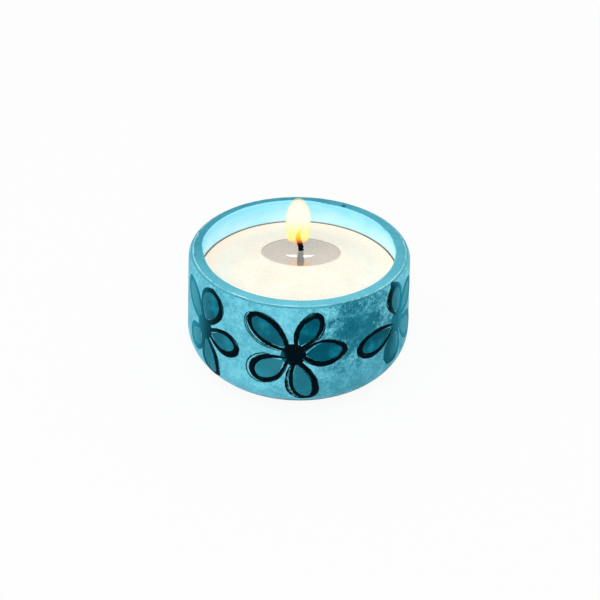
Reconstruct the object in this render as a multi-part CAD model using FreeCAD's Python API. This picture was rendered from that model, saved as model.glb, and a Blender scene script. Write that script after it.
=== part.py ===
import FreeCAD, Part
import math
import os

from FreeCAD import Matrix, Vector

# All sizes are in millimetres and all turns in degrees. The cup stands on Z = 0 with its axis on Z,
# and -Y is the front, where the first flower is.

# Glass cup: the low round base of a jar, widest above its heel, cut down and fire-polished, which leaves
# a bead inside the rim
CUP_DIAMETER = 80.0
CUP_HEIGHT = 42.7
WALL = 4.6
WALL_DRAFT = 1.5
FLOOR = 5.0
HEEL_RADIUS = 12.7
INNER_HEEL_RADIUS = 8.0
PUSH_UP = 2.0
BEARING_RING = 3.5
RIM_ROUND = 2.4
RIM_ARRIS = 0.6
BEAD = 1.8
BEAD_LAND = 2.0
BEAD_BLEND = 3.0

# Teal wash: a coat over the outside, the rim and a narrow lap inside it
COAT = 0.2
COAT_HEM = 0.8
COAT_LAP = 1.6

# Wax: poured into the cup, drawn a little away from the glass as it set
WAX_DROP = 9.4
WAX_SHRINK = 0.3
WAX_EDGE_ROUND = 0.8

# Melt pool: the oval of liquid wax round the wick
POOL_WIDTH = 28.6
POOL_LENGTH = 19.7
POOL_DEPTH = 9.0
POOL_DROP = 0.4
POOL_SIDE = 0.6
POOL_BACK = 12.8

# Wick: upright in the wax, then leaning left and curling right inside the flame
WICK_DIAMETER = 2.0
WICK_SIDE = 0.5
WICK_BACK = 12.8
WICK_STRAIGHT = 1.4
WICK_LEAN_RADIUS = 6.0
WICK_LEAN = 25.0
WICK_CURL_RADIUS = 5.5
WICK_CURL = 70.0

# Sustainer: the stamped tin foot that holds the wick, stuck to the glass by a pad
SUSTAINER_DIAMETER = 20.0
SUSTAINER_SHEET = 0.4
NECK_HEIGHT = 7.0
NECK_FILLET = 1.2
PAD_DIAMETER = 18.0
PAD_THICKNESS = 0.8

# Flame: a round bullet about the curled end of the wick, blunt below, straight-sided and domed above
FLAME_DIAMETER = 9.4
FLAME_BLUNT = 2.4
FLAME_STRAIGHT = 6.6
FLAME_DOME = 8.6
FLAME_LIFT = 4.3
FLAME_SIDE = -1.2

# Flowers: enamel on the coat, each with filled petals inside a heavy brushed outline
PETAL_WIDTH = 10.2
PETAL_START = 2.0
OUTLINE_WIDTH = 1.6
OUTLINE_BIAS = 0.4
EYE_DIAMETER = 9.0
FILL_THICKNESS = 0.2
OUTLINE_THICKNESS = 0.3

# A petal's edge, as shares of its length along it and of its width to one side
PETAL_EDGE = ((0.28, 0.33), (0.62, 0.50), (0.90, 0.34))

# The three ways a flower is painted: each petal's turn from level, and its reach as a share of half
# the space that one flower has round the cup
OPEN_FLOWER = ((137, 0.94), (62, 0.83), (3, 0.81), (-74, 0.92), (-144, 0.83))
LOW_FLOWER = ((97, 0.76), (38, 0.78), (-38, 0.84), (-105, 0.76), (-167, 0.93))
TALL_FLOWER = ((72, 0.86), (-7, 0.78), (-73, 0.89), (-130, 0.66), (132, 0.85))

# Each flower's name, its place round the cup from the front towards +X, its rise above the middle of
# the cup's height, and how it is painted
FLOWERS = (
    ("front_flower", -1.8, 3.9, OPEN_FLOWER),
    ("right_flower", 58.6, 5.4, LOW_FLOWER),
    ("back_right_flower", 122.0, 3.5, TALL_FLOWER),
    ("back_flower", 181.0, 3.7, OPEN_FLOWER),
    ("back_left_flower", 245.0, 4.6, LOW_FLOWER),
    ("left_flower", 306.9, 3.1, TALL_FLOWER),
)

# Sizes that follow from those above
ORIGIN = Vector(0, 0, 0)
UP = Vector(0, 0, 1)
OUTER_RADIUS = CUP_DIAMETER / 2
INNER_RADIUS = OUTER_RADIUS - WALL
RIM_RADIUS = OUTER_RADIUS - WALL_DRAFT
MOUTH_RADIUS = INNER_RADIUS - BEAD
HEEL_CENTRE = Vector(OUTER_RADIUS - HEEL_RADIUS, 0, HEEL_RADIUS)
RIM_CENTRE = Vector(RIM_RADIUS - RIM_ROUND, 0, CUP_HEIGHT - RIM_ROUND)
FLOOR_TOP = PUSH_UP + FLOOR
WAX_RADIUS = INNER_RADIUS - WAX_SHRINK
WAX_TOP = CUP_HEIGHT - WAX_DROP
POOL_TOP = WAX_TOP - POOL_DROP
WICK_RADIUS = WICK_DIAMETER / 2
WICK_FOOT = Vector(WICK_SIDE, WICK_BACK, FLOOR_TOP + PAD_THICKNESS)
FLOWER_REACH = math.pi * CUP_DIAMETER / len(FLOWERS) / 2


def section_point(radius, height):
    """A point of a turned section, in the plane through the axis."""
    return Vector(radius, 0, height)


def line(start, end):
    return Part.LineSegment(start, end).toShape()


def section_arc(centre, radius, start_turn, end_turn):
    """An arc in the section plane, by its turns from +X towards +Z."""
    turns = (start_turn, (start_turn + end_turn) / 2, end_turn)
    points = []
    for turn in turns:
        angle = math.radians(turn)
        points.append(centre + Vector(radius * math.cos(angle), 0, radius * math.sin(angle)))
    return Part.Arc(*points).toShape()


def joined(edges):
    """The edges with a straight line across each gap, as one closed wire."""
    closed = []
    for edge, following in zip(edges, edges[1:] + edges[:1]):
        closed.append(edge)
        end = edge.valueAt(edge.LastParameter)
        start = following.valueAt(following.FirstParameter)
        if end.distanceToPoint(start) > Part.Precision.confusion():
            closed.append(line(end, start))
    return Part.Wire(closed)


def turned(edges):
    """The solid that a closed section makes when it is turned about the axis."""
    return Part.Face(joined(edges)).revolve(ORIGIN, UP, 360)


def wall_lean():
    """How far the outer wall leans in: the turn at which it leaves the heel and meets the rim's round."""
    span = RIM_CENTRE - HEEL_CENTRE
    lean = math.atan2(span.z, span.x) - math.acos((HEEL_RADIUS - RIM_ROUND) / span.Length)
    return math.degrees(lean)


def heel_arc(skin, lowest_turn):
    """The outer heel, raised by a skin, from its lowest painted turn up to the wall."""
    return section_arc(HEEL_CENTRE, HEEL_RADIUS + skin, lowest_turn, wall_lean())


def rim_arcs(skin):
    """The round outer edge and the small inner edge of the rim, raised by a skin."""
    inner_centre = section_point(MOUTH_RADIUS + RIM_ARRIS, CUP_HEIGHT - RIM_ARRIS)
    outer = section_arc(RIM_CENTRE, RIM_ROUND + skin, wall_lean(), 90)
    inner = section_arc(inner_centre, RIM_ARRIS + skin, 90, 180)
    return [outer, inner]


def bead_arcs():
    """The S under the bead, from the rim's inner edge out to the cup's inner wall."""
    radius = (BEAD ** 2 + BEAD_BLEND ** 2) / (4 * BEAD)
    turn = math.degrees(math.asin(BEAD_BLEND / (2 * radius)))
    upper_centre = section_point(MOUTH_RADIUS + radius, CUP_HEIGHT - BEAD_LAND)
    lower_centre = section_point(INNER_RADIUS - radius, CUP_HEIGHT - BEAD_LAND - BEAD_BLEND)
    upper = section_arc(upper_centre, radius, 180, 180 + turn)
    lower = section_arc(lower_centre, radius, turn, 0)
    return [upper, lower]


def hem_turn():
    """Where the coat ends on the heel, as a turn of the heel's arc."""
    return -math.degrees(math.asin((HEEL_RADIUS - COAT_HEM) / HEEL_RADIUS))


def glass_cup():
    ring_inner = HEEL_CENTRE.x - BEARING_RING
    dome_radius = (ring_inner ** 2 + PUSH_UP ** 2) / (2 * PUSH_UP)
    dome_turn = math.degrees(math.asin(ring_inner / dome_radius))
    dome_centre = section_point(0, PUSH_UP - dome_radius)
    dome = section_arc(dome_centre, dome_radius, 90, 90 - dome_turn)
    inner_heel_centre = section_point(INNER_RADIUS - INNER_HEEL_RADIUS, FLOOR_TOP + INNER_HEEL_RADIUS)
    inner_heel = section_arc(inner_heel_centre, INNER_HEEL_RADIUS, 0, -90)
    inner_floor = line(section_point(inner_heel_centre.x, FLOOR_TOP), section_point(0, FLOOR_TOP))
    return turned([dome, heel_arc(0, -90), *rim_arcs(0), *bead_arcs(), inner_heel, inner_floor])


def backwards(edge):
    """The same line or arc, drawn from its end to its start."""
    middle = (edge.FirstParameter + edge.LastParameter) / 2
    points = [edge.valueAt(at) for at in (edge.LastParameter, middle, edge.FirstParameter)]
    if edge.Curve.TypeId == "Part::GeomLine":
        return line(points[0], points[2])
    return Part.Arc(*points).toShape()


def band(low_skin, high_skin, over_rim):
    """A film on the cup's outside between two heights above the glass, up to the rim's top or over it."""
    sides = []
    for skin in (high_skin, low_skin):
        heel = heel_arc(skin, hem_turn())
        outer_edge, inner_edge = rim_arcs(skin)
        wall = line(heel.valueAt(heel.LastParameter), outer_edge.valueAt(outer_edge.FirstParameter))
        side = [heel, wall, outer_edge]
        if over_rim:
            lap_top = inner_edge.valueAt(inner_edge.LastParameter)
            lap = line(lap_top, section_point(MOUTH_RADIUS - skin, CUP_HEIGHT - COAT_LAP))
            side += [inner_edge, lap]
        sides.append(side)
    outside, inside = sides
    return turned(outside + [backwards(edge) for edge in reversed(inside)])


def wick_path():
    """The wick's line: straight up from its foot, a lean to the left and a curl to the right."""
    lean_start = Vector(WICK_SIDE, WICK_BACK, POOL_TOP + WICK_STRAIGHT)
    lean_centre = lean_start - Vector(WICK_LEAN_RADIUS, 0, 0)
    lean = section_arc(lean_centre, WICK_LEAN_RADIUS, 0, WICK_LEAN)
    lean_end = lean.valueAt(lean.LastParameter)
    away = math.radians(WICK_LEAN)
    curl_centre = lean_end + Vector(math.cos(away), 0, math.sin(away)) * WICK_CURL_RADIUS
    curl = section_arc(curl_centre, WICK_CURL_RADIUS, 180 + WICK_LEAN, 180 + WICK_LEAN - WICK_CURL)
    return Part.Wire([line(WICK_FOOT, lean_start), lean, curl])


def wick():
    path = wick_path()
    section = Part.Wire(Part.Circle(WICK_FOOT, UP, WICK_RADIUS).toShape())
    stem = path.makePipeShell([section], True, False)
    last = path.Edges[-1]
    tip = last.valueAt(last.LastParameter)
    heading = last.tangentAt(last.LastParameter)
    cap = Part.makeSphere(WICK_RADIUS, tip, heading, 0, 90)
    return stem.fuse(cap).removeSplitter()


def sustainer_pad():
    return Part.makeCylinder(PAD_DIAMETER / 2, PAD_THICKNESS, WICK_FOOT - UP * PAD_THICKNESS)


def wick_sustainer():
    neck_radius = WICK_RADIUS + SUSTAINER_SHEET
    flange_radius = SUSTAINER_DIAMETER / 2
    root = section_point(neck_radius + NECK_FILLET, SUSTAINER_SHEET + NECK_FILLET)
    under = line(section_point(WICK_RADIUS, 0), section_point(flange_radius, 0))
    top = line(section_point(flange_radius, SUSTAINER_SHEET), section_point(root.x, SUSTAINER_SHEET))
    fillet = section_arc(root, NECK_FILLET, 270, 180)
    lip = line(section_point(neck_radius, NECK_HEIGHT), section_point(WICK_RADIUS, NECK_HEIGHT))
    foot = turned([under, top, fillet, lip])
    foot.translate(WICK_FOOT)
    return foot


def pool_hollow():
    """The oval bowl that the flame has melted, as a whole ellipsoid about the wax's surface."""
    stretch = Matrix()
    stretch.scale(POOL_WIDTH / 2, POOL_LENGTH / 2, POOL_DEPTH)
    hollow = Part.makeSphere(1).transformGeometry(stretch)
    hollow.translate(Vector(POOL_SIDE, POOL_BACK, WAX_TOP))
    return hollow


def wax_fill(held):
    """The poured wax, cast round the pieces that it holds."""
    heel_centre = section_point(WAX_RADIUS - INNER_HEEL_RADIUS, FLOOR_TOP + INNER_HEEL_RADIUS)
    edge_centre = section_point(WAX_RADIUS - WAX_EDGE_ROUND, WAX_TOP - WAX_EDGE_ROUND)
    heel = section_arc(heel_centre, INNER_HEEL_RADIUS, -90, 0)
    edge = section_arc(edge_centre, WAX_EDGE_ROUND, 0, 90)
    axis = line(section_point(0, WAX_TOP), section_point(0, FLOOR_TOP))
    return turned([heel, edge, axis]).cut([pool_hollow(), *held])


def melt_pool(stem):
    """The liquid that stands in the bowl, a little below the wax's surface, round the wick."""
    low_corner = Vector(POOL_SIDE - POOL_WIDTH / 2, POOL_BACK - POOL_LENGTH / 2, WAX_TOP - POOL_DEPTH)
    depth = POOL_DEPTH - POOL_DROP
    below_surface = Part.makeBox(POOL_WIDTH, POOL_LENGTH, depth, low_corner)
    return pool_hollow().common(below_surface).cut(stem)


def flame(stem):
    """A blunt foot and a dome, each half an ellipsoid, with a straight side between and the wick's end inside."""
    low_ring = section_point(0, FLAME_BLUNT)
    high_ring = low_ring + UP * FLAME_STRAIGHT
    full = Vector(FLAME_DIAMETER / 2, 0, 0)
    below = Part.Ellipse(low_ring + full, low_ring + UP * FLAME_BLUNT, low_ring)
    above = Part.Ellipse(high_ring + UP * FLAME_DOME, high_ring - full, high_ring)
    quarter = math.pi / 2
    foot = Part.ArcOfEllipse(below, 3 * quarter, 4 * quarter).toShape()
    dome = Part.ArcOfEllipse(above, 3 * quarter, 4 * quarter).toShape()
    body = turned([foot, dome])
    body.translate(Vector(WICK_SIDE + FLAME_SIDE, WICK_BACK, POOL_TOP + FLAME_LIFT))
    return body.cut(stem)


def petal(reach, width, start, shift, turn):
    """A flat petal drawn outwards along +X, moved sideways by a shift, turned, then raised along +Z."""
    length = reach - start
    near_side = [Vector(start + along * length, across * width, 0) for along, across in PETAL_EDGE]
    far_side = [Vector(point.x, -point.y, 0) for point in reversed(near_side)]
    edge = Part.BSplineCurve()
    tip = Vector(reach, 0, 0)
    edge.interpolate(Points=[Vector(start, 0, 0), *near_side, tip, *far_side], PeriodicFlag=True)
    face = Part.Face(Part.Wire(edge.toShape()))
    face.translate(Vector(0, shift, 0))
    face.rotate(ORIGIN, UP, turn)
    return face.extrude(UP * CUP_DIAMETER)


def flower_prisms(petals):
    """A flower drawn on the XY plane and raised along +Z: its filled petals, and its outline with the eye."""
    eye = Part.makeCylinder(EYE_DIAMETER / 2, CUP_DIAMETER)
    loops = []
    fills = []
    for turn, share in petals:
        reach = share * FLOWER_REACH
        inner_width = PETAL_WIDTH - 2 * OUTLINE_WIDTH
        inner_start = PETAL_START + OUTLINE_WIDTH
        loops.append(petal(reach, PETAL_WIDTH, PETAL_START, 0, turn))
        fill = petal(reach - OUTLINE_WIDTH, inner_width, inner_start, OUTLINE_BIAS, turn)
        fills.append(fill.cut(eye))
    outline = eye.fuse(loops).removeSplitter().cut(fills)
    return fills, [outline]


def on_cup(prisms, angle, height, film):
    """Prisms turned to look outwards at an angle round the cup and a height, as pieces of a film on it."""
    pieces = []
    for prism in prisms:
        looking_out = prism.copy()
        looking_out.rotate(ORIGIN, Vector(1, 0, 0), 90)
        looking_out.rotate(ORIGIN, UP, angle)
        looking_out.translate(UP * height)
        pieces += looking_out.common(film).Solids
    return Part.makeCompound(pieces)


def flower_nodes():
    """Every flower's petals and outline, by node name."""
    fill_film = band(COAT, COAT + FILL_THICKNESS, False)
    outline_film = band(COAT, COAT + OUTLINE_THICKNESS, False)
    nodes = {}
    for name, angle, rise, petals in FLOWERS:
        fills, outline = flower_prisms(petals)
        height = CUP_HEIGHT / 2 + rise
        nodes[name + "_petals"] = on_cup(fills, angle, height, fill_film)
        nodes[name + "_outline"] = on_cup(outline, angle, height, outline_film)
    return nodes


def all_nodes():
    """Every piece, by node name."""
    stem = wick()
    foot = wick_sustainer()
    pad = sustainer_pad()
    nodes = {
        "glass_cup": glass_cup(),
        "colour_coat": band(0, COAT, True),
        "wax_fill": wax_fill([stem, foot, pad]),
        "melt_pool": melt_pool(stem),
        "wick": stem,
        "wick_sustainer": foot,
        "sustainer_pad": pad,
        "flame": flame(stem),
    }
    nodes.update(flower_nodes())
    return nodes


os.makedirs("parts", exist_ok=True)
for node_name, shape in all_nodes().items():
    shape.exportStep("parts/" + node_name + ".step")
    print(node_name, "solids", len(shape.Solids), "valid", shape.isValid(), "volume", round(shape.Volume, 2))
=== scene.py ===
import logging
import math
from collections.abc import Callable, Iterator, Sequence
from contextlib import contextmanager
from dataclasses import dataclass
from enum import Enum
from functools import partial
from typing import ClassVar, NamedTuple

import bpy
from mathutils import Matrix, Vector, noise


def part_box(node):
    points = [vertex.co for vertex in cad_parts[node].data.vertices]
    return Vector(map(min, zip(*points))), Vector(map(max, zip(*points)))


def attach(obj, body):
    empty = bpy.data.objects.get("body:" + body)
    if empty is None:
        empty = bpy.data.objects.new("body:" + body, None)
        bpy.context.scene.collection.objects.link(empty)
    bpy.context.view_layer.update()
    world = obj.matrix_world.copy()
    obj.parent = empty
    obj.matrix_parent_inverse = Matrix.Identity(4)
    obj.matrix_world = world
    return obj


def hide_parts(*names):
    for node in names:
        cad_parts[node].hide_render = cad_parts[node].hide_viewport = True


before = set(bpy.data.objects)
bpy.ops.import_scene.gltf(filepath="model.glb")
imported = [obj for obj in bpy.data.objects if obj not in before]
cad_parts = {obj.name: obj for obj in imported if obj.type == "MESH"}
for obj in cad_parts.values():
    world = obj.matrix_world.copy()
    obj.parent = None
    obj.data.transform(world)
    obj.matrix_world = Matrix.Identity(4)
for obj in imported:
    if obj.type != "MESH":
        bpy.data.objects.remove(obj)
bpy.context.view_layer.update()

MM = 0.001
WELD = 0.004 * MM
ROUND_SEGMENTS = 256
FLAME_SEGMENTS = 96
POOL_SEGMENTS = 192
BODY = "root"
# The edges that stay sharp are those that turn by more than this, in degrees.
GLASS_CREASE = 35
PAINT_CREASE = 50
WAX_CREASE = 60
# The names of the attributes that tell a finish how thin paint is, which also stands as a painted sheen,
# and how deep in the flame a shell lies.
THINNING_AND_SHEEN = "thinning"
CORE = "core"
# Settings that many nodes share: a range that eases in and out, and a mix of colours.
EASED = {"interpolation_type": "SMOOTHSTEP"}
COLOURS = {"data_type": "RGBA"}

Piece = bpy.types.Object
Socket = bpy.types.NodeSocket
Inputs = dict[str | int, object]
AddNode = Callable[..., Socket]
Point = tuple[float, float]
Stops = tuple[tuple[float, str], ...]

log = logging.getLogger("candle")


class Slot(Enum):
    """The material slots."""

    GLASS = "cup_glass"
    WASH = "teal_wash"
    WAX = "candle_wax"
    MOLTEN = "molten_wax"
    WICK = "cotton_wick"
    TIN = "tinplate"
    PAD = "adhesive_pad"
    FLAME = "flame"
    PETAL = "petal_enamel"
    OUTLINE = "outline_enamel"


class Side(Enum):
    """A side of a petal or of a flower, seen from outside the cup."""

    NONE = 0
    LEFT = -1
    RIGHT = 1


class Oval(NamedTuple):
    """One ring of a formed piece: its two half widths, its height and its centre."""

    half_x: float
    half_y: float
    height: float
    centre_x: float = 0.0
    centre_y: float = 0.0


def linear(colour: str) -> tuple[float, float, float, float]:
    """Turns an sRGB colour to the linear one that shaders take.

    Args:
        colour: the colour as "#RRGGBB".

    Returns:
        Its linear red, green and blue, and an alpha of 1.
    """
    channels = [int(colour[at:at + 2], 16) / 255 for at in (1, 3, 5)]
    decoded = [c / 12.92 if c <= 0.04045 else ((c + 0.055) / 1.055) ** 2.4 for c in channels]
    return (*decoded, 1.0)


def feed(node: bpy.types.Node, inputs: Inputs) -> None:
    """Links or sets a node's inputs.

    Args:
        node: the node.
        inputs: by input name or number, a socket to link from, a colour as "#RRGGBB" or another value.
    """
    for name, value in inputs.items():
        if isinstance(value, Socket):
            node.id_data.links.new(value, node.inputs[name])
        else:
            node.inputs[name].default_value = linear(value) if isinstance(value, str) else value


def add_node(
    tree: bpy.types.NodeTree,
    kind: str,
    inputs: Inputs | None = None,
    stops: Stops = (),
    output: str = "",
    **settings: object,
) -> Socket:
    """Adds one node to a material, with its settings and its links.

    Args:
        tree: the node tree that gets the node.
        kind: the node's type name after "ShaderNode".
        inputs: what its inputs get, as feed takes it.
        stops: places and colours, for a colour ramp alone.
        output: the name of the output to give, or nothing for the first that is in use.
        settings: the node's own properties.

    Returns:
        The new node's output.
    """
    node = tree.nodes.new("ShaderNode" + kind)
    for name, value in settings.items():
        setattr(node, name, value)
    feed(node, inputs or {})
    for number, (position, colour) in enumerate(stops):
        elements = node.color_ramp.elements
        element = elements[number] if number < 2 else elements.new(position)
        element.position = position
        element.color = linear(colour)
    return node.outputs[output] if output else next(socket for socket in node.outputs if socket.enabled)


def smooth_step(value: float, low: float, high: float) -> float:
    """Gives 0 at low, 1 at high and a smooth rise between them, whichever is the larger."""
    share = min(max((value - low) / (high - low), 0.0), 1.0)
    return share * share * (3 - 2 * share)


def waver(along: float, row: float) -> float:
    """Gives a smooth chance value from about -1 to 1, the same on every run."""
    return noise.noise(Vector((along, row, 0.37)))


def deselect_all() -> None:
    """Leaves nothing selected."""
    bpy.ops.object.select_all(action="DESELECT")


def pick(*pieces: Piece) -> None:
    """Selects these pieces alone and makes the first of them active.

    Args:
        pieces: the pieces.
    """
    deselect_all()
    for piece in pieces:
        piece.select_set(True)
    bpy.context.view_layer.objects.active = pieces[0]


def rename(piece: Piece, name: str) -> Piece:
    """Names a piece and its mesh.

    Args:
        piece: the piece.
        name: its new name.

    Returns:
        The same piece.
    """
    piece.name = name
    piece.data.name = name
    return piece


@contextmanager
def editing(piece: Piece) -> Iterator[None]:
    """Holds a piece in edit mode with all of it selected.

    Args:
        piece: the mesh to edit, which is left selected and active.

    Returns:
        A context without a value.
    """
    pick(piece)
    bpy.ops.object.mode_set(mode="EDIT")
    bpy.ops.mesh.select_all(action="SELECT")
    yield
    bpy.ops.object.mode_set(mode="OBJECT")


def close_up(piece: Piece) -> None:
    """Merges a piece's seams and poles and points its faces outwards.

    Args:
        piece: the mesh to close.
    """
    with editing(piece):
        bpy.ops.mesh.remove_doubles(threshold=WELD)
        bpy.ops.mesh.normals_make_consistent(inside=False)


def form_ovals(name: str, ovals: Sequence[Oval], segments: int) -> Piece:
    """Draws a ring out oval by oval, as a lathe or a mould forms a round piece.

    Args:
        name: the piece's name.
        ovals: its rings in order, from one closed end to the other.
        segments: how many points each ring has.

    Returns:
        The closed piece.
    """
    deselect_all()
    capped = ovals[0].half_x < WELD
    fill = "TRIFAN" if capped else "NOTHING"
    bpy.ops.mesh.primitive_circle_add(vertices=segments, radius=1.0, fill_type=fill, calc_uvs=False)
    piece = rename(bpy.context.object, name)
    end = ovals[0]
    first = ovals[1] if capped else end
    with editing(piece):
        bpy.ops.transform.resize(value=(first.half_x, first.half_y, 1.0), center_override=(0, 0, 0))
        bpy.ops.transform.translate(value=(end.centre_x, end.centre_y, end.height))
        if capped:
            bpy.ops.mesh.region_to_loop()
            bpy.ops.transform.translate(value=(0, 0, first.height - end.height))
        start = 1 if capped else 0
        for oval, following in zip(ovals[start:], ovals[start + 1:]):
            step = (
                following.centre_x - oval.centre_x,
                following.centre_y - oval.centre_y,
                following.height - oval.height,
            )
            widening = (following.half_x / oval.half_x, following.half_y / oval.half_y, 1.0)
            centre = (following.centre_x, following.centre_y, following.height)
            bpy.ops.mesh.extrude_edges_move(TRANSFORM_OT_translate={"value": step})
            bpy.ops.transform.resize(value=widening, center_override=centre)
    close_up(piece)
    return piece


def turned(profile: Sequence[Point]) -> list[Oval]:
    """Gives the rings of a turned piece from the radius and height of each point of its section."""
    return [Oval(radius, radius, height) for radius, height in profile]


def arc(radius: float, height: float, bend: float, start: float, end: float, steps: int) -> list[Point]:
    """Gives points on an arc of a section.

    Args:
        radius: the radius at which the arc's centre lies.
        height: the height at which the arc's centre lies.
        bend: the arc's own radius.
        start: its first turn from outwards towards up, in degrees.
        end: its last turn.
        steps: how many steps it takes.

    Returns:
        The points as radius and height.
    """
    turns = [math.radians(start + (end - start) * step / steps) for step in range(steps + 1)]
    return [(radius + bend * math.cos(turn), height + bend * math.sin(turn)) for turn in turns]


def between(start: Oval, end: Oval, share: float) -> Oval:
    """Gives the ring that lies a share of the way from one ring to another."""
    return Oval(*[low + (high - low) * share for low, high in zip(start, end)])


def apply_modifier(piece: Piece, kind: str, **settings: object) -> None:
    """Gives a piece one modifier and applies it.

    Args:
        piece: the mesh that it changes.
        kind: the modifier's type.
        settings: the modifier's own properties.
    """
    pick(piece)
    modifier = piece.modifiers.new(kind.lower(), kind)
    for name, value in settings.items():
        setattr(modifier, name, value)
    bpy.ops.object.modifier_apply(modifier=modifier.name)


def join(name: str, sheets: Sequence[Piece]) -> Piece:
    """Joins meshes into one piece.

    Args:
        name: the piece's name.
        sheets: the meshes, of which the first becomes the piece.

    Returns:
        The piece.
    """
    pick(*sheets)
    bpy.ops.object.join()
    return rename(bpy.context.object, name)


def settle(piece: Piece, node: str, material: bpy.types.Material, crease: float) -> None:
    """Shades a finished piece smooth and gives it its material and its place in the frame.

    Args:
        piece: the finished mesh.
        node: the CAD node that it stands for.
        material: the finish itself.
        crease: the turn, in degrees, above which an edge stays sharp.
    """
    pick(piece)
    bpy.ops.object.shade_smooth_by_angle(angle=math.radians(crease))
    piece.data.materials.clear()
    piece.data.materials.append(material)
    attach(piece, BODY)
    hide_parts(node)
    log.info("%s stands for %s, %d faces", piece.name, node, len(piece.data.polygons))


@dataclass(frozen=True)
class Finish:
    """What every finish has: a name and a shader with patterns in the object's own coordinates."""

    name: ClassVar[str] = "finish"

    def material(self) -> bpy.types.Material:
        """Makes the material and lets the finish lay out its nodes.

        Returns:
            The finished material.
        """
        made = bpy.data.materials.new(self.name)
        made.use_nodes = True
        tree = made.node_tree
        place = add_node(tree, "TexCoord", output="Object")
        feed(tree.nodes["Principled BSDF"], self.lay(partial(add_node, tree), place))
        return made

    def lay(self, add: AddNode, place: Socket) -> Inputs:
        """Lays out the finish's own nodes.

        Args:
            add: adds a node to the material, as add_node does.
            place: the object's own coordinates.

        Returns:
            What the inputs of the material's shader get.
        """
        raise NotImplementedError


@dataclass(frozen=True)
class FrostedSodaGlass(Finish):
    """Soda-lime glass, etched inside by hand: a pale milky cyan, with a painted glow where light goes
    through.
    """

    name: ClassVar[str] = "frosted_soda_lime_glass"
    rim_height: float
    wax_height: float
    # Painted shade: the glass is darker up under the rim and paler down at the wax.
    upper: str = "#86DEF6"
    lower: str = "#C0EDFB"
    # Painted glow: the glass gives off light in its own colour, for the light that comes through the wall.
    glow: float = 0.26
    # The painted shadow line where the wax meets the glass.
    wax_line_shadow: str = "#6A6863"
    cloud: float = 9 * MM
    line: float = 0.35 * MM

    def lay(self, add: AddNode, place: Socket) -> Inputs:
        """Lays painted shade that fades from the rim down to the wax, faint clouds, and a painted shadow
        line where the wax meets the glass.

        Args:
            add: adds a node to the material, as add_node does.
            place: the object's own coordinates.

        Returns:
            What the inputs of the material's shader get.
        """
        height = add("SeparateXYZ", {0: place}, output="Z")
        clouds = add("TexNoise", {"Vector": place, "Scale": 1 / self.cloud, "Detail": 4.0})
        # Painted shade, darkest under the rim.
        fade = add(
            "MapRange", {"Value": height, "From Min": self.rim_height, "From Max": self.wax_height}
        )
        uneven = add("Math", {0: clouds, 1: 1.4, 2: -0.7}, operation="MULTIPLY_ADD")
        paling = add("Math", {0: fade, 1: uneven}, operation="ADD", use_clamp=True)
        # A painted shadow line at the wax's edge.
        above = add(
            "MapRange",
            {
                "Value": height,
                "From Min": self.wax_height + self.line,
                "From Max": self.wax_height - self.line,
            },
            **EASED,
        )
        colour = self.upper
        for share, tint in ((paling, self.lower), (above, self.wax_line_shadow)):
            colour = add("Mix", {0: share, 6: colour, 7: tint}, **COLOURS)
        return {
            "Base Color": colour,
            # The painted glow.
            "Emission Color": colour,
            "Emission Strength": self.glow,
            "Roughness": 0.32,
            "Specular IOR Level": 0.35,
            "IOR": 1.52,
        }


class Spot(NamedTuple):
    """A patch of the wall's colour: its place, half sizes, two tones, strength and soft edge."""

    degrees: float
    height: float
    half_across: float
    half_up: float
    deep: str
    pale: str
    strength: float
    edge: float


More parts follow.
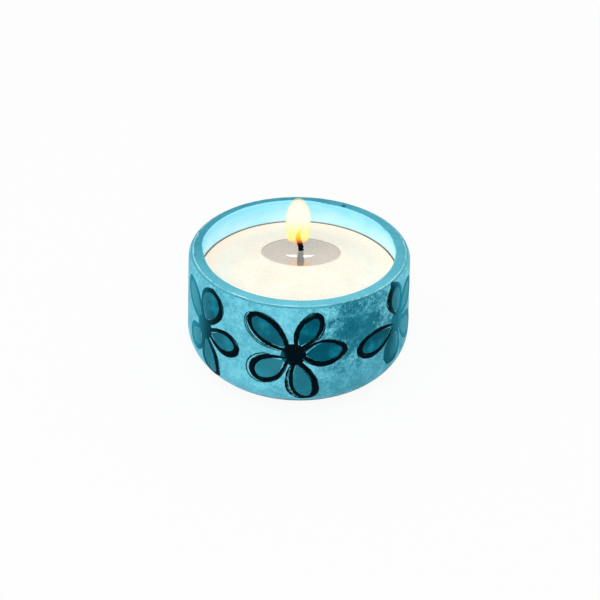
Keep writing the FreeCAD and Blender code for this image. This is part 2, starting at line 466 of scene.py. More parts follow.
@dataclass(frozen=True)
class TealWash(Finish):
    """Thinned acrylic dabbed on with a sponge: clouds of teal, rubbed pale along the rim's edge, with
    painted highlights, painted light and a painted shadow at the foot.
    """

    name: ClassVar[str] = "sponged_acrylic_wash"
    radius: float
    height: float
    mouth: float
    deep: str = "#3F98AC"
    plain: str = "#64C2D7"
    pale: str = "#8AE8FA"
    dab: str = "#00687D"
    dab_pale: str = "#2E98AE"
    # Painted light: the rim's top is darker on the left and lighter on the right and at the front.
    rim_left: str = "#2A8EA3"
    rim_right: str = "#4FAABD"
    rim_front: str = "#78D8EA"
    # The pale line along the rim's outer edge: worn paint, and also a painted highlight on that rounded
    # edge.
    worn: str = "#C4F5FB"
    scuffed: str = "#227688"
    bare: str = "#96E0F4"
    # The painted shadow along the foot, where the cup meets the floor.
    hem: str = "#12586A"
    cloud: float = 6 * MM
    sponge: float = 1.4 * MM
    speck: float = 0.45 * MM
    relief: float = 0.05 * MM
    # Painted light lighter low on the left, a painted highlight high on the right under the rim, a darker
    # patch low on the right, and the dark dab of paint.
    spots: tuple[Spot, ...] = (
        Spot(-30.0, 9 * MM, 26 * MM, 12 * MM, plain, pale, 0.8, 0.9),
        Spot(70.0, 39 * MM, 15 * MM, 9 * MM, plain, pale, 0.9, 0.9),
        Spot(40.0, 14 * MM, 24 * MM, 15 * MM, deep, plain, 0.8, 0.6),
        Spot(31.0, 32 * MM, 13 * MM, 11 * MM, dab, dab_pale, 0.95, 0.55),
    )
    raggedness: float = 4.0
    spot_size: float = 3.0
    line_radius: float = 36.95 * MM
    line_band: Point = (0.25 * MM, -0.1 * MM)
    # Lines along the rim's outer edge: a dark line of built-up paint, and a pale line that is worn paint
    # and also a painted highlight.
    streaks: tuple[tuple[float, float, str, float], ...] = (
        (0.65 * MM, 0.34 * MM, scuffed, 0.75),
        (0.1 * MM, 0.26 * MM, worn, 0.9),
    )
    wander: float = 1.2 * MM
    rim_band: Point = (4 * MM, 3 * MM)
    foot_shadow_band: Point = (5.6 * MM, 3.6 * MM)
    bare_angle: float = 222.0
    bare_width: float = 0.65 * MM
    bare_least: float = 0.05 * MM
    bare_edge: float = 0.1 * MM
    blob_band: Point = (1.3 * MM, 0.5 * MM)
    blob_place: tuple[float, float, float] = (16.2 * MM, 30.4 * MM, 42.7 * MM)

    def lay(self, add: AddNode, place: Socket) -> Inputs:
        """Lays the mottled wall with its dark dab and patches of painted light, the painted shadow at the
        foot, then the rim with its painted light, its rubbed edge that also holds a painted highlight, and
        the blob on it.

        Args:
            add: adds a node to the material, as add_node does.
            place: the object's own coordinates.

        Returns:
            What the inputs of the material's shader get.
        """
        axes = add("SeparateXYZ", {0: place}).node.outputs
        grains = ((self.cloud, 5.0, 0.62), (self.sponge, 4.0, 0.7), (self.speck, 1.0, 0.5))
        clouds, sponge, specks = [
            add("TexNoise", {"Vector": place, "Scale": 1 / size, "Detail": detail, "Roughness": rough})
            for size, detail, rough in grains
        ]
        coarse = add("Mix", {0: 0.45, 2: clouds, 3: sponge})
        mottle = add("Mix", {0: 0.2, 2: coarse, 3: specks})
        wash = add(
            "ValToRGB", {0: mottle}, stops=((0.36, self.deep), (0.66, self.pale), (0.5, self.plain))
        )

        forward = add("Math", {0: axes["Y"], 1: -1.0}, operation="MULTIPLY")
        around = add("Math", {0: axes["X"], 1: forward}, operation="ARCTAN2")
        wall = wash
        # Patches of the wash and of painted light.
        for spot in self.spots:
            turn = math.radians(spot.degrees)
            offsets = []
            for axis, start, scale in (
                (around, turn, self.radius / spot.half_across),
                (axes["Z"], spot.height, 1 / spot.half_up),
            ):
                inputs = {0: axis, 1: scale, 2: -start * scale}
                offsets.append(add("Math", inputs, operation="MULTIPLY_ADD"))
            off = add("CombineXYZ", {"X": offsets[0], "Y": offsets[1]})
            away = add("VectorMath", {0: off}, operation="LENGTH")
            ragged = add("Math", {0: mottle, 1: self.raggedness, 2: away}, operation="MULTIPLY_ADD")
            outer, inner = self.spot_size + spot.edge, self.spot_size - spot.edge
            share = add(
                "MapRange",
                {"Value": ragged, "From Min": outer, "From Max": inner, "To Max": spot.strength},
                **EASED,
            )
            dabbed = add("ValToRGB", {0: mottle}, stops=((0.46, spot.deep), (0.64, spot.pale)))
            wall = add("Mix", {0: share, 6: wall, 7: dabbed}, **COLOURS)

        # Painted light: the rim's top grows lighter towards the front and the right.
        front = add("MapRange", {"Value": axes["Y"], "From Min": 0.0, "From Max": -self.radius})
        right = add(
            "MapRange",
            {"Value": axes["X"], "From Min": 0.2 * self.radius, "From Max": 0.85 * self.radius},
        )
        sides = add("Mix", {0: right, 6: self.rim_left, 7: self.rim_right}, **COLOURS)
        even_rim = add("Mix", {0: front, 6: sides, 7: self.rim_front}, **COLOURS)
        rim = add("Mix", {0: 0.26, 6: even_rim, 7: wash}, **COLOURS)

        flat = add("CombineXYZ", {"X": axes["X"], "Y": axes["Y"]})
        reach = add("VectorMath", {0: flat}, operation="LENGTH")
        stray = self.wander / 2
        wandering = add("Math", {0: coarse, 1: self.wander, 2: reach}, operation="MULTIPLY_ADD")
        past_line = add("Math", {0: wandering, 1: self.line_radius + stray}, operation="SUBTRACT")
        low, high = [self.height - depth for depth in self.rim_band]
        at_top = add("MapRange", {"Value": axes["Z"], "From Min": low, "From Max": high})
        outer, inner = self.line_band
        on_rim = add(
            "MapRange", {"Value": past_line, "From Min": outer, "From Max": inner, "To Max": at_top}
        )
        colour = add("Mix", {0: on_rim, 6: wall, 7: rim}, **COLOURS)
        # Painted shadow: a dark band along the foot where the cup stands.
        high, low = self.foot_shadow_band
        in_foot_shadow = add(
            "MapRange", {"Value": axes["Z"], "From Min": high, "From Max": low, "To Max": 0.9}, **EASED
        )
        layers = [(in_foot_shadow, self.hem)]

        # The pale line along the edge is worn paint and also a painted highlight.
        patchy = add("MapRange", {"Value": coarse, "From Min": 0.4, "From Max": 0.58, "To Max": at_top})
        for middle, half, tint, strength in self.streaks:
            near = add("Math", {0: past_line, 1: middle}, operation="SUBTRACT")
            apart = add("Math", {0: near}, operation="ABSOLUTE")
            streak = add(
                "MapRange",
                {"Value": apart, "From Min": half, "From Max": 0.4 * half, "To Max": strength},
                **EASED,
            )
            layers.append((add("Math", {0: streak, 1: patchy}, operation="MULTIPLY"), tint))

        to_blob = add("VectorMath", {0: place, 1: self.blob_place}, operation="DISTANCE")
        outer, inner = self.blob_band
        blob = add(
            "MapRange", {"Value": to_blob, "From Min": outer, "From Max": inner, "To Max": 0.95}, **EASED
        )

        towards = math.radians(self.bare_angle)
        facing = add(
            "VectorMath",
            {0: flat, 1: (math.sin(towards) / self.mouth, -math.cos(towards) / self.mouth, 0.0)},
            operation="DOT_PRODUCT",
        )
        width = add(
            "MapRange",
            {
                "Value": facing,
                "From Min": 0.5,
                "From Max": 0.78,
                "To Min": self.mouth + self.bare_least + stray,
                "To Max": self.mouth + self.bare_width + stray,
            },
            **EASED,
        )
        short = add("Math", {0: width, 1: wandering}, operation="SUBTRACT")
        edge = self.bare_edge
        unpainted = add(
            "MapRange", {"Value": short, "From Min": -edge, "From Max": edge, "To Max": at_top}
        )
        layers += [(blob, self.dab), (unpainted, self.bare)]
        for share, tint in layers:
            colour = add("Mix", {0: share, 6: colour, 7: tint}, **COLOURS)
        # Painted glow: the bare glass gives off a little light of its own.
        through = add("Math", {0: unpainted, 1: 0.2}, operation="MULTIPLY")

        dull = add(
            "MapRange", {"Value": sponge, "From Min": 0.3, "From Max": 0.7, "To Min": 0.42, "To Max": 0.6}
        )
        bump = add("Bump", {"Strength": 0.3, "Distance": self.relief, "Height": mottle})
        return {
            "Base Color": colour,
            "Roughness": dull,
            "Normal": bump,
            # The bare glass's painted glow.
            "Emission Strength": through,
            "Emission Color": self.bare,
            "Specular IOR Level": 0.06,
            "IOR": 1.49,
        }


@dataclass(frozen=True)
class PetalEnamel(Finish):
    """Thin glass enamel laid with a round brush: deep teal at the eye, worn lighter towards the tips."""

    name: ClassVar[str] = "brushed_petal_enamel"
    deep: str = "#004E60"
    plain: str = "#005A6D"
    light: str = "#148499"
    washed_and_sheen: str = "#3FA0B4"
    stroke: float = 5 * MM
    # The grain of the brush is finer than this and is drawn coarse enough to show.
    grain: float = 0.6 * MM

    def lay(self, add: AddNode, place: Socket) -> Inputs:
        """Lays the paint's uneven depth along each petal, and paler paint to one side of the flower, which
        also stands as a painted sheen.

        Args:
            add: adds a node to the material, as add_node does.
            place: the object's own coordinates.

        Returns:
            What the inputs of the material's shader get.
        """
        depth = add("TexNoise", {"Vector": place, "Scale": 1 / self.stroke, "Detail": 2.0})
        grain = add("TexNoise", {"Vector": place, "Scale": 1 / self.grain, "Detail": 1.0})
        uneven = add("Mix", {0: 0.15, 2: depth, 3: grain})
        drawn = add("UVMap")
        along = add("SeparateXYZ", {0: drawn}, output="X")
        on_petal = add("Math", {0: along}, operation="FRACT")
        outward = add("MapRange", {"Value": on_petal, "From Min": 0.3, "From Max": 0.95, "To Max": 0.14})
        worn = add("Math", {0: uneven, 1: outward}, operation="ADD")
        paint = add(
            "ValToRGB", {0: worn}, stops=((0.36, self.deep), (0.76, self.light), (0.54, self.plain))
        )
        # Paler where the paint is thin, and where the cup's side turns away, where it is a painted sheen.
        thinning = add("Attribute", output="Fac", attribute_name=THINNING_AND_SHEEN)
        watered_and_sheen = add("Math", {0: thinning, 1: thinning}, operation="MULTIPLY")
        colour = add("Mix", {0: watered_and_sheen, 6: paint, 7: self.washed_and_sheen}, **COLOURS)
        gloss = add(
            "MapRange", {"Value": uneven, "From Min": 0.3, "From Max": 0.7, "To Min": 0.4, "To Max": 0.55}
        )
        return {"Base Color": colour, "Roughness": gloss, "Specular IOR Level": 0.02, "IOR": 1.5}


@dataclass(frozen=True)
class OutlineEnamel(Finish):
    """Black-teal enamel from a half dry brush: solid in the stroke, bare where its bristles parted."""

    name: ClassVar[str] = "dry_brushed_outline_enamel"
    ink: str = "#00090E"
    soft: str = "#03161D"
    washed_and_sheen: str = "#1C90A8"
    bare: str = "#3F9FB2"
    # How often the bristles' tracks change along and across a stroke. Across, one is about 0.24 mm wide.
    hairs_along: float = 4.0
    hairs_across: float = 8.0

    def lay(self, add: AddNode, place: Socket) -> Inputs:
        """Lays the ink, the tracks of the bristles along the stroke, and paler ink to one side, which also
        stands as a painted sheen.

        Args:
            add: adds a node to the material, as add_node does.
            place: the object's own coordinates, which this finish does not use.

        Returns:
            What the inputs of the material's shader get.
        """
        drawn = add("UVMap")
        stretched = add("Mapping", {"Vector": drawn, "Scale": (self.hairs_along, self.hairs_across, 1.0)})
        hairs = add("TexNoise", {"Vector": stretched, "Scale": 1.0, "Detail": 3.0, "Roughness": 0.6})
        across = add("SeparateXYZ", {0: drawn}, output="Y")
        off_middle = add("Math", {0: across, 1: 0.5}, operation="SUBTRACT")
        to_edge = add("Math", {0: off_middle}, operation="ABSOLUTE")
        dry = add("Math", {0: to_edge, 1: 0.26, 2: hairs}, operation="MULTIPLY_ADD")
        broken = add("MapRange", {"Value": dry, "From Min": 0.69, "From Max": 0.76, "To Max": 0.9})
        # Paler where the ink is thin, and where the cup's side turns away, where it is a painted sheen.
        thinning = add("Attribute", output="Fac", attribute_name=THINNING_AND_SHEEN)
        watered_and_sheen = add("Math", {0: thinning, 1: thinning}, operation="MULTIPLY")
        colour = self.ink
        for share, tint in ((hairs, self.soft), (watered_and_sheen, self.washed_and_sheen), (broken, self.bare)):
            colour = add("Mix", {0: share, 6: colour, 7: tint}, **COLOURS)
        return {"Base Color": colour, "Roughness": 0.5, "Specular IOR Level": 0.01, "IOR": 1.5}


@dataclass(frozen=True)
class PouredParaffin(Finish):
    """Poured paraffin: cream with the fine crystal grain of slow setting, and a painted glow for the
    flame's light within it.
    """

    name: ClassVar[str] = "poured_paraffin_wax"
    radius: float
    plain: str = "#FDF9EB"
    warm: str = "#F0EADB"
    # Painted shade at the back of the wax.
    shaded: str = "#EDE5D7"
    edge: str = "#FFE3CE"
    speck: str = "#CBD0C2"
    # The painted glow: the flame's warm light and a share of the wax's own colour.
    lit: str = "#FFAE80"
    glow: float = 0.14
    # The crystals of the wax are finer than this and are drawn coarse enough to show.
    grain: float = 0.55 * MM
    relief: float = 0.12 * MM
    scatter: float = 1.2 * MM
    drift: float = 8 * MM
    edge_width: float = 7 * MM
    behind: Point = (-5 * MM, 24 * MM)

    def lay(self, add: AddNode, place: Socket) -> Inputs:
        """Lays drifts of warmer wax, painted shade behind, a warm edge, the crystal grain, and a painted
        glow that is warmer at the edge.

        Args:
            add: adds a node to the material, as add_node does.
            place: the object's own coordinates.

        Returns:
            What the inputs of the material's shader get.
        """
        axes = add("SeparateXYZ", {0: place}).node.outputs
        grain = add(
            "TexNoise", {"Vector": place, "Scale": 1 / self.grain, "Detail": 3.0, "Roughness": 0.7}
        )
        drift = add("TexNoise", {"Vector": place, "Scale": 1 / self.drift, "Detail": 3.0})
        uneven = add("Mix", {0: 0.6, 2: drift, 3: grain})
        warmth = add("MapRange", {"Value": uneven, "From Min": 0.4, "From Max": 0.62})
        # Painted shade towards the back.
        start, end = self.behind
        behind = add(
            "MapRange", {"Value": axes["Y"], "From Min": start, "From Max": end, "To Max": 0.8}, **EASED
        )
        flat = add("CombineXYZ", {"X": axes["X"], "Y": axes["Y"]})
        reach = add("VectorMath", {0: flat}, operation="LENGTH")
        inside = self.radius - self.edge_width
        at_edge = add(
            "MapRange",
            {"Value": reach, "From Min": inside, "From Max": self.radius, "To Max": 0.7},
            **EASED,
        )
        specks = add("MapRange", {"Value": grain, "From Min": 0.48, "From Max": 0.66, "To Max": 0.5})
        colour = self.plain
        layers = ((warmth, self.warm), (behind, self.shaded), (at_edge, self.edge), (specks, self.speck))
        for share, tint in layers:
            colour = add("Mix", {0: share, 6: colour, 7: tint}, **COLOURS)
        bump = add("Bump", {"Strength": 0.7, "Distance": self.relief, "Height": grain})
        # Painted glow, warmer towards the edge.
        warming = add("Math", {0: at_edge, 1: 0.24, 2: 0.085}, operation="MULTIPLY_ADD")
        from_flame = add("VectorMath", {0: linear(self.lit)[:3], "Scale": warming}, operation="SCALE")
        scattered = add(
            "VectorMath",
            {0: colour, 1: (self.glow, self.glow, self.glow), 2: from_flame},
            operation="MULTIPLY_ADD",
        )
        return {
            "Base Color": colour,
            "Normal": bump,
            "Emission Color": scattered,
            "Emission Strength": 1.0,
            "Roughness": 0.7,
            "Specular IOR Level": 0.12,
            "IOR": 1.44,
            "Subsurface Weight": 0.25,
            "Subsurface Radius": (1.0, 0.8, 0.6),
            "Subsurface Scale": self.scatter,
        }


@dataclass(frozen=True)
class MoltenParaffin(Finish):
    """Liquid paraffin: smoky but clear enough to show the wick, with painted glints of the flame on its
    skin.
    """

    name: ClassVar[str] = "molten_paraffin_wax"
    wick: Vector
    middle: Vector
    half_x: float
    half_y: float
    clear: str = "#E0E4EB"
    smoky: str = "#CED4DF"
    # The painted reflection of the flame's warm foot in the pool.
    warm: str = "#FFD2B2"
    swirl: float = 6 * MM
    glint_ahead: Point = (2.35 * MM, 4.15 * MM)
    glint_half: float = 5.7 * MM
    glint_edge: float = 0.3 * MM
    glint_parting: Point = (1.2 * MM, 1.5 * MM)
    glint_left: float = 0.3 * MM
    reflection_half: Point = (4.8 * MM, 2.8 * MM)
    lip_fade: float = 6 * MM

    def lay(self, add: AddNode, place: Socket) -> Inputs:
        """Lays smoke in the liquid, a painted crescent of light before the wick, and painted light along
        the front lip.

        Args:
            add: adds a node to the material, as add_node does.
            place: the object's own coordinates.

        Returns:
            What the inputs of the material's shader get.
        """
        swirls = add(
            "TexNoise", {"Vector": place, "Scale": 1 / self.swirl, "Detail": 2.0, "Distortion": 0.8}
        )
        smoke = add("Mix", {0: swirls, 6: self.clear, 7: self.smoky}, **COLOURS)
        axes = add("SeparateXYZ", {0: place}).node.outputs

        # Painted reflection: a crescent of the flame's light just before the wick.
        aside = add("Math", {0: axes["X"], 1: self.wick.x - self.glint_left}, operation="SUBTRACT")
        sideways = add("Math", {0: aside}, operation="ABSOLUTE")
        squared = add("Math", {0: aside, 1: aside}, operation="MULTIPLY")
        near, far = self.glint_ahead
        rounding = (far - near) / self.glint_half ** 2
        under = add("Math", {0: squared, 1: -rounding, 2: far - self.wick.y}, operation="MULTIPLY_ADD")
        over_bottom = add("Math", {0: axes["Y"], 1: under}, operation="ADD")
        under_top = add("Math", {0: self.wick.y - near, 1: axes["Y"]}, operation="SUBTRACT")
        inside = add("Math", {0: over_bottom, 1: under_top}, operation="MINIMUM")
        crescent = add("MapRange", {"Value": inside, "From Max": self.glint_edge})
        inner, outer = self.glint_parting
        glint = add(
            "MapRange", {"Value": sideways, "From Min": inner, "From Max": outer, "To Max": crescent}
        )

        from_pool = add(
            "VectorMath", {0: place, 1: (self.middle.x, self.middle.y, 0.0)}, operation="SUBTRACT"
        )
        oval = add(
            "VectorMath", {0: from_pool, 1: (1 / self.half_x, 1 / self.half_y, 0.0)}, operation="MULTIPLY"
        )
        out = add("VectorMath", {0: oval}, operation="LENGTH")
        # Painted highlight along the pool's front lip.
        lip = add("MapRange", {"Value": out, "From Min": 0.965, "From Max": 0.985}, **EASED)
        lip_front = add(
            "MapRange",
            {
                "Value": axes["Y"],
                "From Min": self.middle.y,
                "From Max": self.middle.y - self.lip_fade,
                "To Max": 0.15,
            },
        )
        lip_light = add("Math", {0: lip, 1: lip_front}, operation="MULTIPLY")
        light = add("Math", {0: glint, 1: lip_light}, operation="MAXIMUM")

        # Painted reflection: the flame's warm light round the wick's line, towards the front.
        near_front = add(
            "MapRange",
            {
                "Value": axes["Y"],
                "From Min": self.middle.y - 0.45 * self.half_y,
                "From Max": self.middle.y - 0.85 * self.half_y,
                "To Max": 0.8,
            },
            **EASED,
        )
        outer, inner = self.reflection_half
        flame_reflection = add(
            "MapRange",
            {"Value": sideways, "From Min": outer, "From Max": inner, "To Max": near_front},
            **EASED,
        )
        colour = add("Mix", {0: flame_reflection, 6: smoke, 7: self.warm}, **COLOURS)
        return {
            "Base Color": colour,
            # The painted glint and lip highlight.
            "Emission Strength": light,
            "Emission Color": "#FFFFFF",
            "Roughness": 0.04,
            "IOR": 1.14,
            "Transmission Weight": 0.8,
        }


@dataclass(frozen=True)
class BurningCotton(Finish):
    """Plaited cotton, soaked pale in the pool, charred black above it and glowing at its tip."""

    name: ClassVar[str] = "charred_cotton_wick"
    pool: float
    tip: float
    soaked: float = 4 * MM
    # Cotton's fibres are far finer than this and are drawn coarse enough to show.
    fibre: float = 0.35 * MM
    relief: float = 0.1 * MM
    # Soaked grey cotton, then a pale band where the wick leaves the liquid, which is a painted highlight,
    # then black char.
    char: Stops = (
        (0.0, "#9A9896"), (1.0, "#15100C"), (0.24, "#A09E9E"), (0.28, "#D8D7D5"), (0.33, "#0B0909"),
    )
    ember: Stops = (
        (0.49, "#000000"), (1.0, "#FFFAB4"), (0.53, "#5C1400"), (0.57, "#C84A00"),
        (0.61, "#FF8E00"), (0.66, "#FFBE00"), (0.76, "#FBDC24"), (0.89, "#FFF07A"),
    )

    def lay(self, add: AddNode, place: Socket) -> Inputs:
        """Lays soaked cotton, char and ember by height, with the cotton's fibre over all of it.

        Args:
            add: adds a node to the material, as add_node does.
            place: the object's own coordinates.

        Returns:
            What the inputs of the material's shader get.
        """
        height = add("SeparateXYZ", {0: place}, output="Z")
        low = self.pool - self.soaked
        burnt = add("MapRange", {"Value": height, "From Min": low, "From Max": self.tip})
        fibre = add("TexNoise", {"Vector": place, "Scale": 1 / self.fibre, "Detail": 2.0})
        char = add("ValToRGB", {0: burnt}, stops=self.char)
        colour = add("Mix", {0: 0.8, 6: char, 7: fibre}, blend_type="OVERLAY", **COLOURS)
        ember = add("ValToRGB", {0: burnt}, stops=self.ember)
        bump = add("Bump", {"Strength": 0.6, "Distance": self.relief, "Height": fibre})
        return {
            "Base Color": colour,
            "Emission Color": ember,
            "Normal": bump,
            "Emission Strength": 1.0,
            "Roughness": 0.9,
            "Specular IOR Level": 0.1,
        }


@dataclass(frozen=True)
class CandleFlame(Finish):
    """Burning wax vapour: a white core in a soft yellow veil, thin before the wick and at its foot."""

    name: ClassVar[str] = "burning_wax_vapour"
    foot: Vector
    wick_x: float
    low: float
    high: float
    slope: float
    core: str = "#FFFFFC"
    parting: Point = (0.7 * MM, 1.4 * MM)
    veil: Stops = (
        (0.0, "#FFA98E"), (1.0, "#FFF3AA"), (0.05, "#FFC88C"), (0.1, "#FFF092"),
        (0.16, "#FFFC9C"), (0.28, "#FFFDA8"), (0.45, "#FFFDBE"), (0.65, "#FFFECC"),
    )

    def lay(self, add: AddNode, place: Socket) -> Inputs:
        """Lays the veil's colours in layers that slope up to the front, its thin near side and its core.

        Args:
            add: adds a node to the material, as add_node does.
            place: the object's own coordinates.

        Returns:
            What the inputs of the material's shader get.
        """
        axes = add("SeparateXYZ", {0: place}).node.outputs
        sloped = add(
            "Math", {0: axes["Y"], 1: self.slope, 2: -self.slope * self.foot.y}, operation="MULTIPLY_ADD"
        )
        height = add("Math", {0: axes["Z"], 1: sloped}, operation="ADD")
        share = add("MapRange", {"Value": height, "From Min": self.low, "From Max": self.high})
        veil = add("ValToRGB", {0: share}, stops=self.veil)
        core = add("Attribute", output="Fac", attribute_name=CORE)
        risen = add("MapRange", {"Value": share, "From Min": 0.24, "From Max": 0.6}, **EASED)
        white = add("Math", {0: core, 1: risen}, operation="MULTIPLY")
        glow = add("Mix", {0: white, 6: veil, 7: self.core}, **COLOURS)
        near = add(
            "MapRange",
            {"Value": share, "From Min": 0.2, "From Max": 0.54, "To Min": 0.03, "To Max": 0.92},
            **EASED,
        )
        far = add("MapRange", {"Value": share, "From Max": 0.11, "To Min": 0.45, "To Max": 0.96}, **EASED)
        inward = add("Math", {0: core, 1: core}, operation="MULTIPLY")
        near_veil = add("MapRange", {"Value": inward, "To Min": 0.1, "To Max": near})
        near_body = add("Math", {0: near_veil, 1: near}, operation="MINIMUM")
        far_veil = add("MapRange", {"Value": core, "From Max": 0.5, "To Min": 0.45})
        aside = add("Math", {0: axes["X"], 1: self.wick_x}, operation="SUBTRACT")
        off_wick = add("Math", {0: aside}, operation="ABSOLUTE")
        inner, outer = self.parting
        parted = add("MapRange", {"Value": off_wick, "From Min": inner, "From Max": outer})
        past_wick = add("Math", {0: axes["Y"], 1: self.foot.y}, operation="GREATER_THAN")
        open_foot = add("Math", {0: parted, 1: past_wick}, operation="MAXIMUM")
        far_share = add("Math", {0: far_veil, 1: open_foot}, operation="MULTIPLY")
        far_body = add("Math", {0: far, 1: far_share}, operation="MULTIPLY")
        behind = add("NewGeometry", output="Backfacing")
        body = add("Mix", {0: behind, 2: near_body, 3: far_body})
        return {
            "Emission Color": glow,
            "Alpha": body,
            "Base Color": "#000000",
            "Specular IOR Level": 0.0,
            "Emission Strength": 1.0,
        }


@dataclass(frozen=True)
class Tinplate(Finish):
    """Stamped tinplate: bright grey steel with the drag lines of the press."""

    name: ClassVar[str] = "stamped_tinplate"
    bright: str = "#C8C8C4"
    dull: str = "#9A9A96"
    # The press leaves finer lines than this, which are drawn coarse enough to show.
    drag: float = 0.8 * MM

    def lay(self, add: AddNode, place: Socket) -> Inputs:
        """Lays fine drag lines and an uneven shine.

        Args:
            add: adds a node to the material, as add_node does.
            place: the object's own coordinates.

        Returns:
            What the inputs of the material's shader get.
        """
        lines = add("TexNoise", {"Vector": place, "Scale": 1 / self.drag, "Detail": 4.0})
        colour = add("Mix", {0: lines, 6: self.dull, 7: self.bright}, **COLOURS)
        dull = add("MapRange", {"Value": lines, "To Min": 0.25, "To Max": 0.45})
        return {"Base Color": colour, "Roughness": dull, "Metallic": 1.0}


@dataclass(frozen=True)
class FoamPad(Finish):
    """A die-cut adhesive foam pad: off-white with open cells on its edge."""

    name: ClassVar[str] = "adhesive_foam_pad"
    cell: str = "#CFC8B8"
    skin: str = "#EDE9DF"
    pore: float = 0.5 * MM
    relief: float = 0.1 * MM

    def lay(self, add: AddNode, place: Socket) -> Inputs:
        """Lays the foam's cells.

        Args:
            add: adds a node to the material, as add_node does.
            place: the object's own coordinates.

        Returns:
            What the inputs of the material's shader get.
        """
        cells = add("TexVoronoi", {"Vector": place, "Scale": 1 / self.pore})
        colour = add("Mix", {0: cells, 6: self.cell, 7: self.skin}, **COLOURS)
        bump = add("Bump", {"Strength": 0.5, "Distance": self.relief, "Height": cells})
        return {"Base Color": colour, "Normal": bump, "Roughness": 0.9}


@dataclass(frozen=True)
class CupForm:
    """The cup's section, which the coat lies on and the flowers are painted on."""

    radius: float
    height: float
    inner_radius: float
    floor_top: float
    coat: float
    draft: float = 1.5 * MM
    heel: float = 12.7 * MM
    inner_heel: float = 8.0 * MM
    push_up: float = 2.0 * MM
    bearing_ring: float = 3.5 * MM
    rim_round: float = 2.4 * MM
    rim_arris: float = 0.6 * MM
    bead: float = 1.8 * MM
    bead_land: float = 2.0 * MM
    bead_blend: float = 3.0 * MM
    hem: float = 0.8 * MM
    lap: float = 1.6 * MM
    lowest_rise: float = -0.99
    highest_rise: float = 0.9

    @classmethod
    def from_frame(cls, wax_gap: float) -> "CupForm":
        """Reads the cup's sizes from the frame.

        Args:
            wax_gap: how far the wax has drawn away from the glass.

        Returns:
            The cup's section.
        """
        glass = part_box("glass_cup")[1]
        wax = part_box("wax_fill")[1]
        coat_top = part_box("colour_coat")[1].z
        return cls(
            radius=glass.x,
            height=glass.z,
            inner_radius=wax.x + wax_gap,
            floor_top=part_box("sustainer_pad")[0].z,
            coat=coat_top - glass.z,
        )

    @property
    def mouth(self) -> float:
        """The radius of the mouth, inside the rim's bead."""
        return self.inner_radius - self.bead

    @property
    def heel_centre(self) -> Vector:
        """The middle of the heel's arc, as radius and height."""
        return Vector((self.radius - self.heel, self.heel))

    @property
    def rim_centre(self) -> Vector:
        """The middle of the rim's outer arc, as radius and height."""
        return Vector((self.radius - self.draft - self.rim_round, self.height - self.rim_round))

    @property
    def lean(self) -> float:
        """How far the wall leans in, in degrees: the turn where it leaves the heel and meets the rim."""
        span = self.rim_centre - self.heel_centre
        narrowing = math.acos((self.heel - self.rim_round) / span.length)
        return math.degrees(math.atan2(span.y, span.x) - narrowing)

    def heel_side(self, skin: float, lowest: float) -> list[Point]:
        """Gives the outer heel, raised by a skin, from its lowest turn up to the wall."""
        return arc(*self.heel_centre, self.heel + skin, lowest, self.lean, 22)

    def rim(self, skin: float) -> list[Point]:
        """Gives the rim's round outer edge and small inner edge.

        Args:
            skin: how far the line is raised from the glass.

        Returns:
            The points as radius and height.
        """
        outer = arc(*self.rim_centre, self.rim_round + skin, self.lean, 90, 12)
        inner_centre = (self.mouth + self.rim_arris, self.height - self.rim_arris)
        return outer + arc(*inner_centre, self.rim_arris + skin, 90, 180, 5)

    def under_bead(self) -> list[Point]:
        """Gives the S under the rim's bead, out to the inner wall.

        Returns:
            The points as radius and height.
        """
        bend = (self.bead ** 2 + self.bead_blend ** 2) / (4 * self.bead)
        turn = math.degrees(math.asin(self.bead_blend / (2 * bend)))
        land = self.height - self.bead_land
        upper = arc(self.mouth + bend, land, bend, 180, 180 + turn, 8)
        return upper + arc(self.inner_radius - bend, land - self.bead_blend, bend, turn, 0, 8)[1:]

    def hem_turn(self) -> float:
        """Gives the turn of the heel's arc at which the coat ends."""
        return -math.degrees(math.asin((self.heel - self.hem) / self.heel))

    def on_coat(self, angle: float, across: float, height: float, lift: float) -> Vector:
        """Lays a point of a flat drawing on the coat.

        Args:
            angle: the drawing's place round the cup from the front, in radians.
            across: how far the point is to the right in the drawing.
            height: its height on the cup.
            lift: how far it stands out from the coat.

        Returns:
            The point in the frame.
        """
        skin = self.coat + lift
        lean = math.radians(self.lean)
        out = Vector((math.cos(lean), math.sin(lean)))
        foot = self.heel_centre + out * self.heel
        top = self.rim_centre + out * self.rim_round
        if foot.y <= height <= top.y:
            section = foot + (top - foot) * (height - foot.y) / (top.y - foot.y) + out * skin
        else:
            centre, bend = self.rim_centre, self.rim_round
            if height < foot.y:
                centre, bend = self.heel_centre, self.heel
            rise = min(max((height - centre.y) / bend, self.lowest_rise), self.highest_rise)
            section = centre + Vector((math.sqrt(1 - rise * rise), rise)) * (bend + skin)
        around = angle + math.asin(across / section.x)
        return Vector((section.x * math.sin(around), -section.x * math.cos(around), section.y))


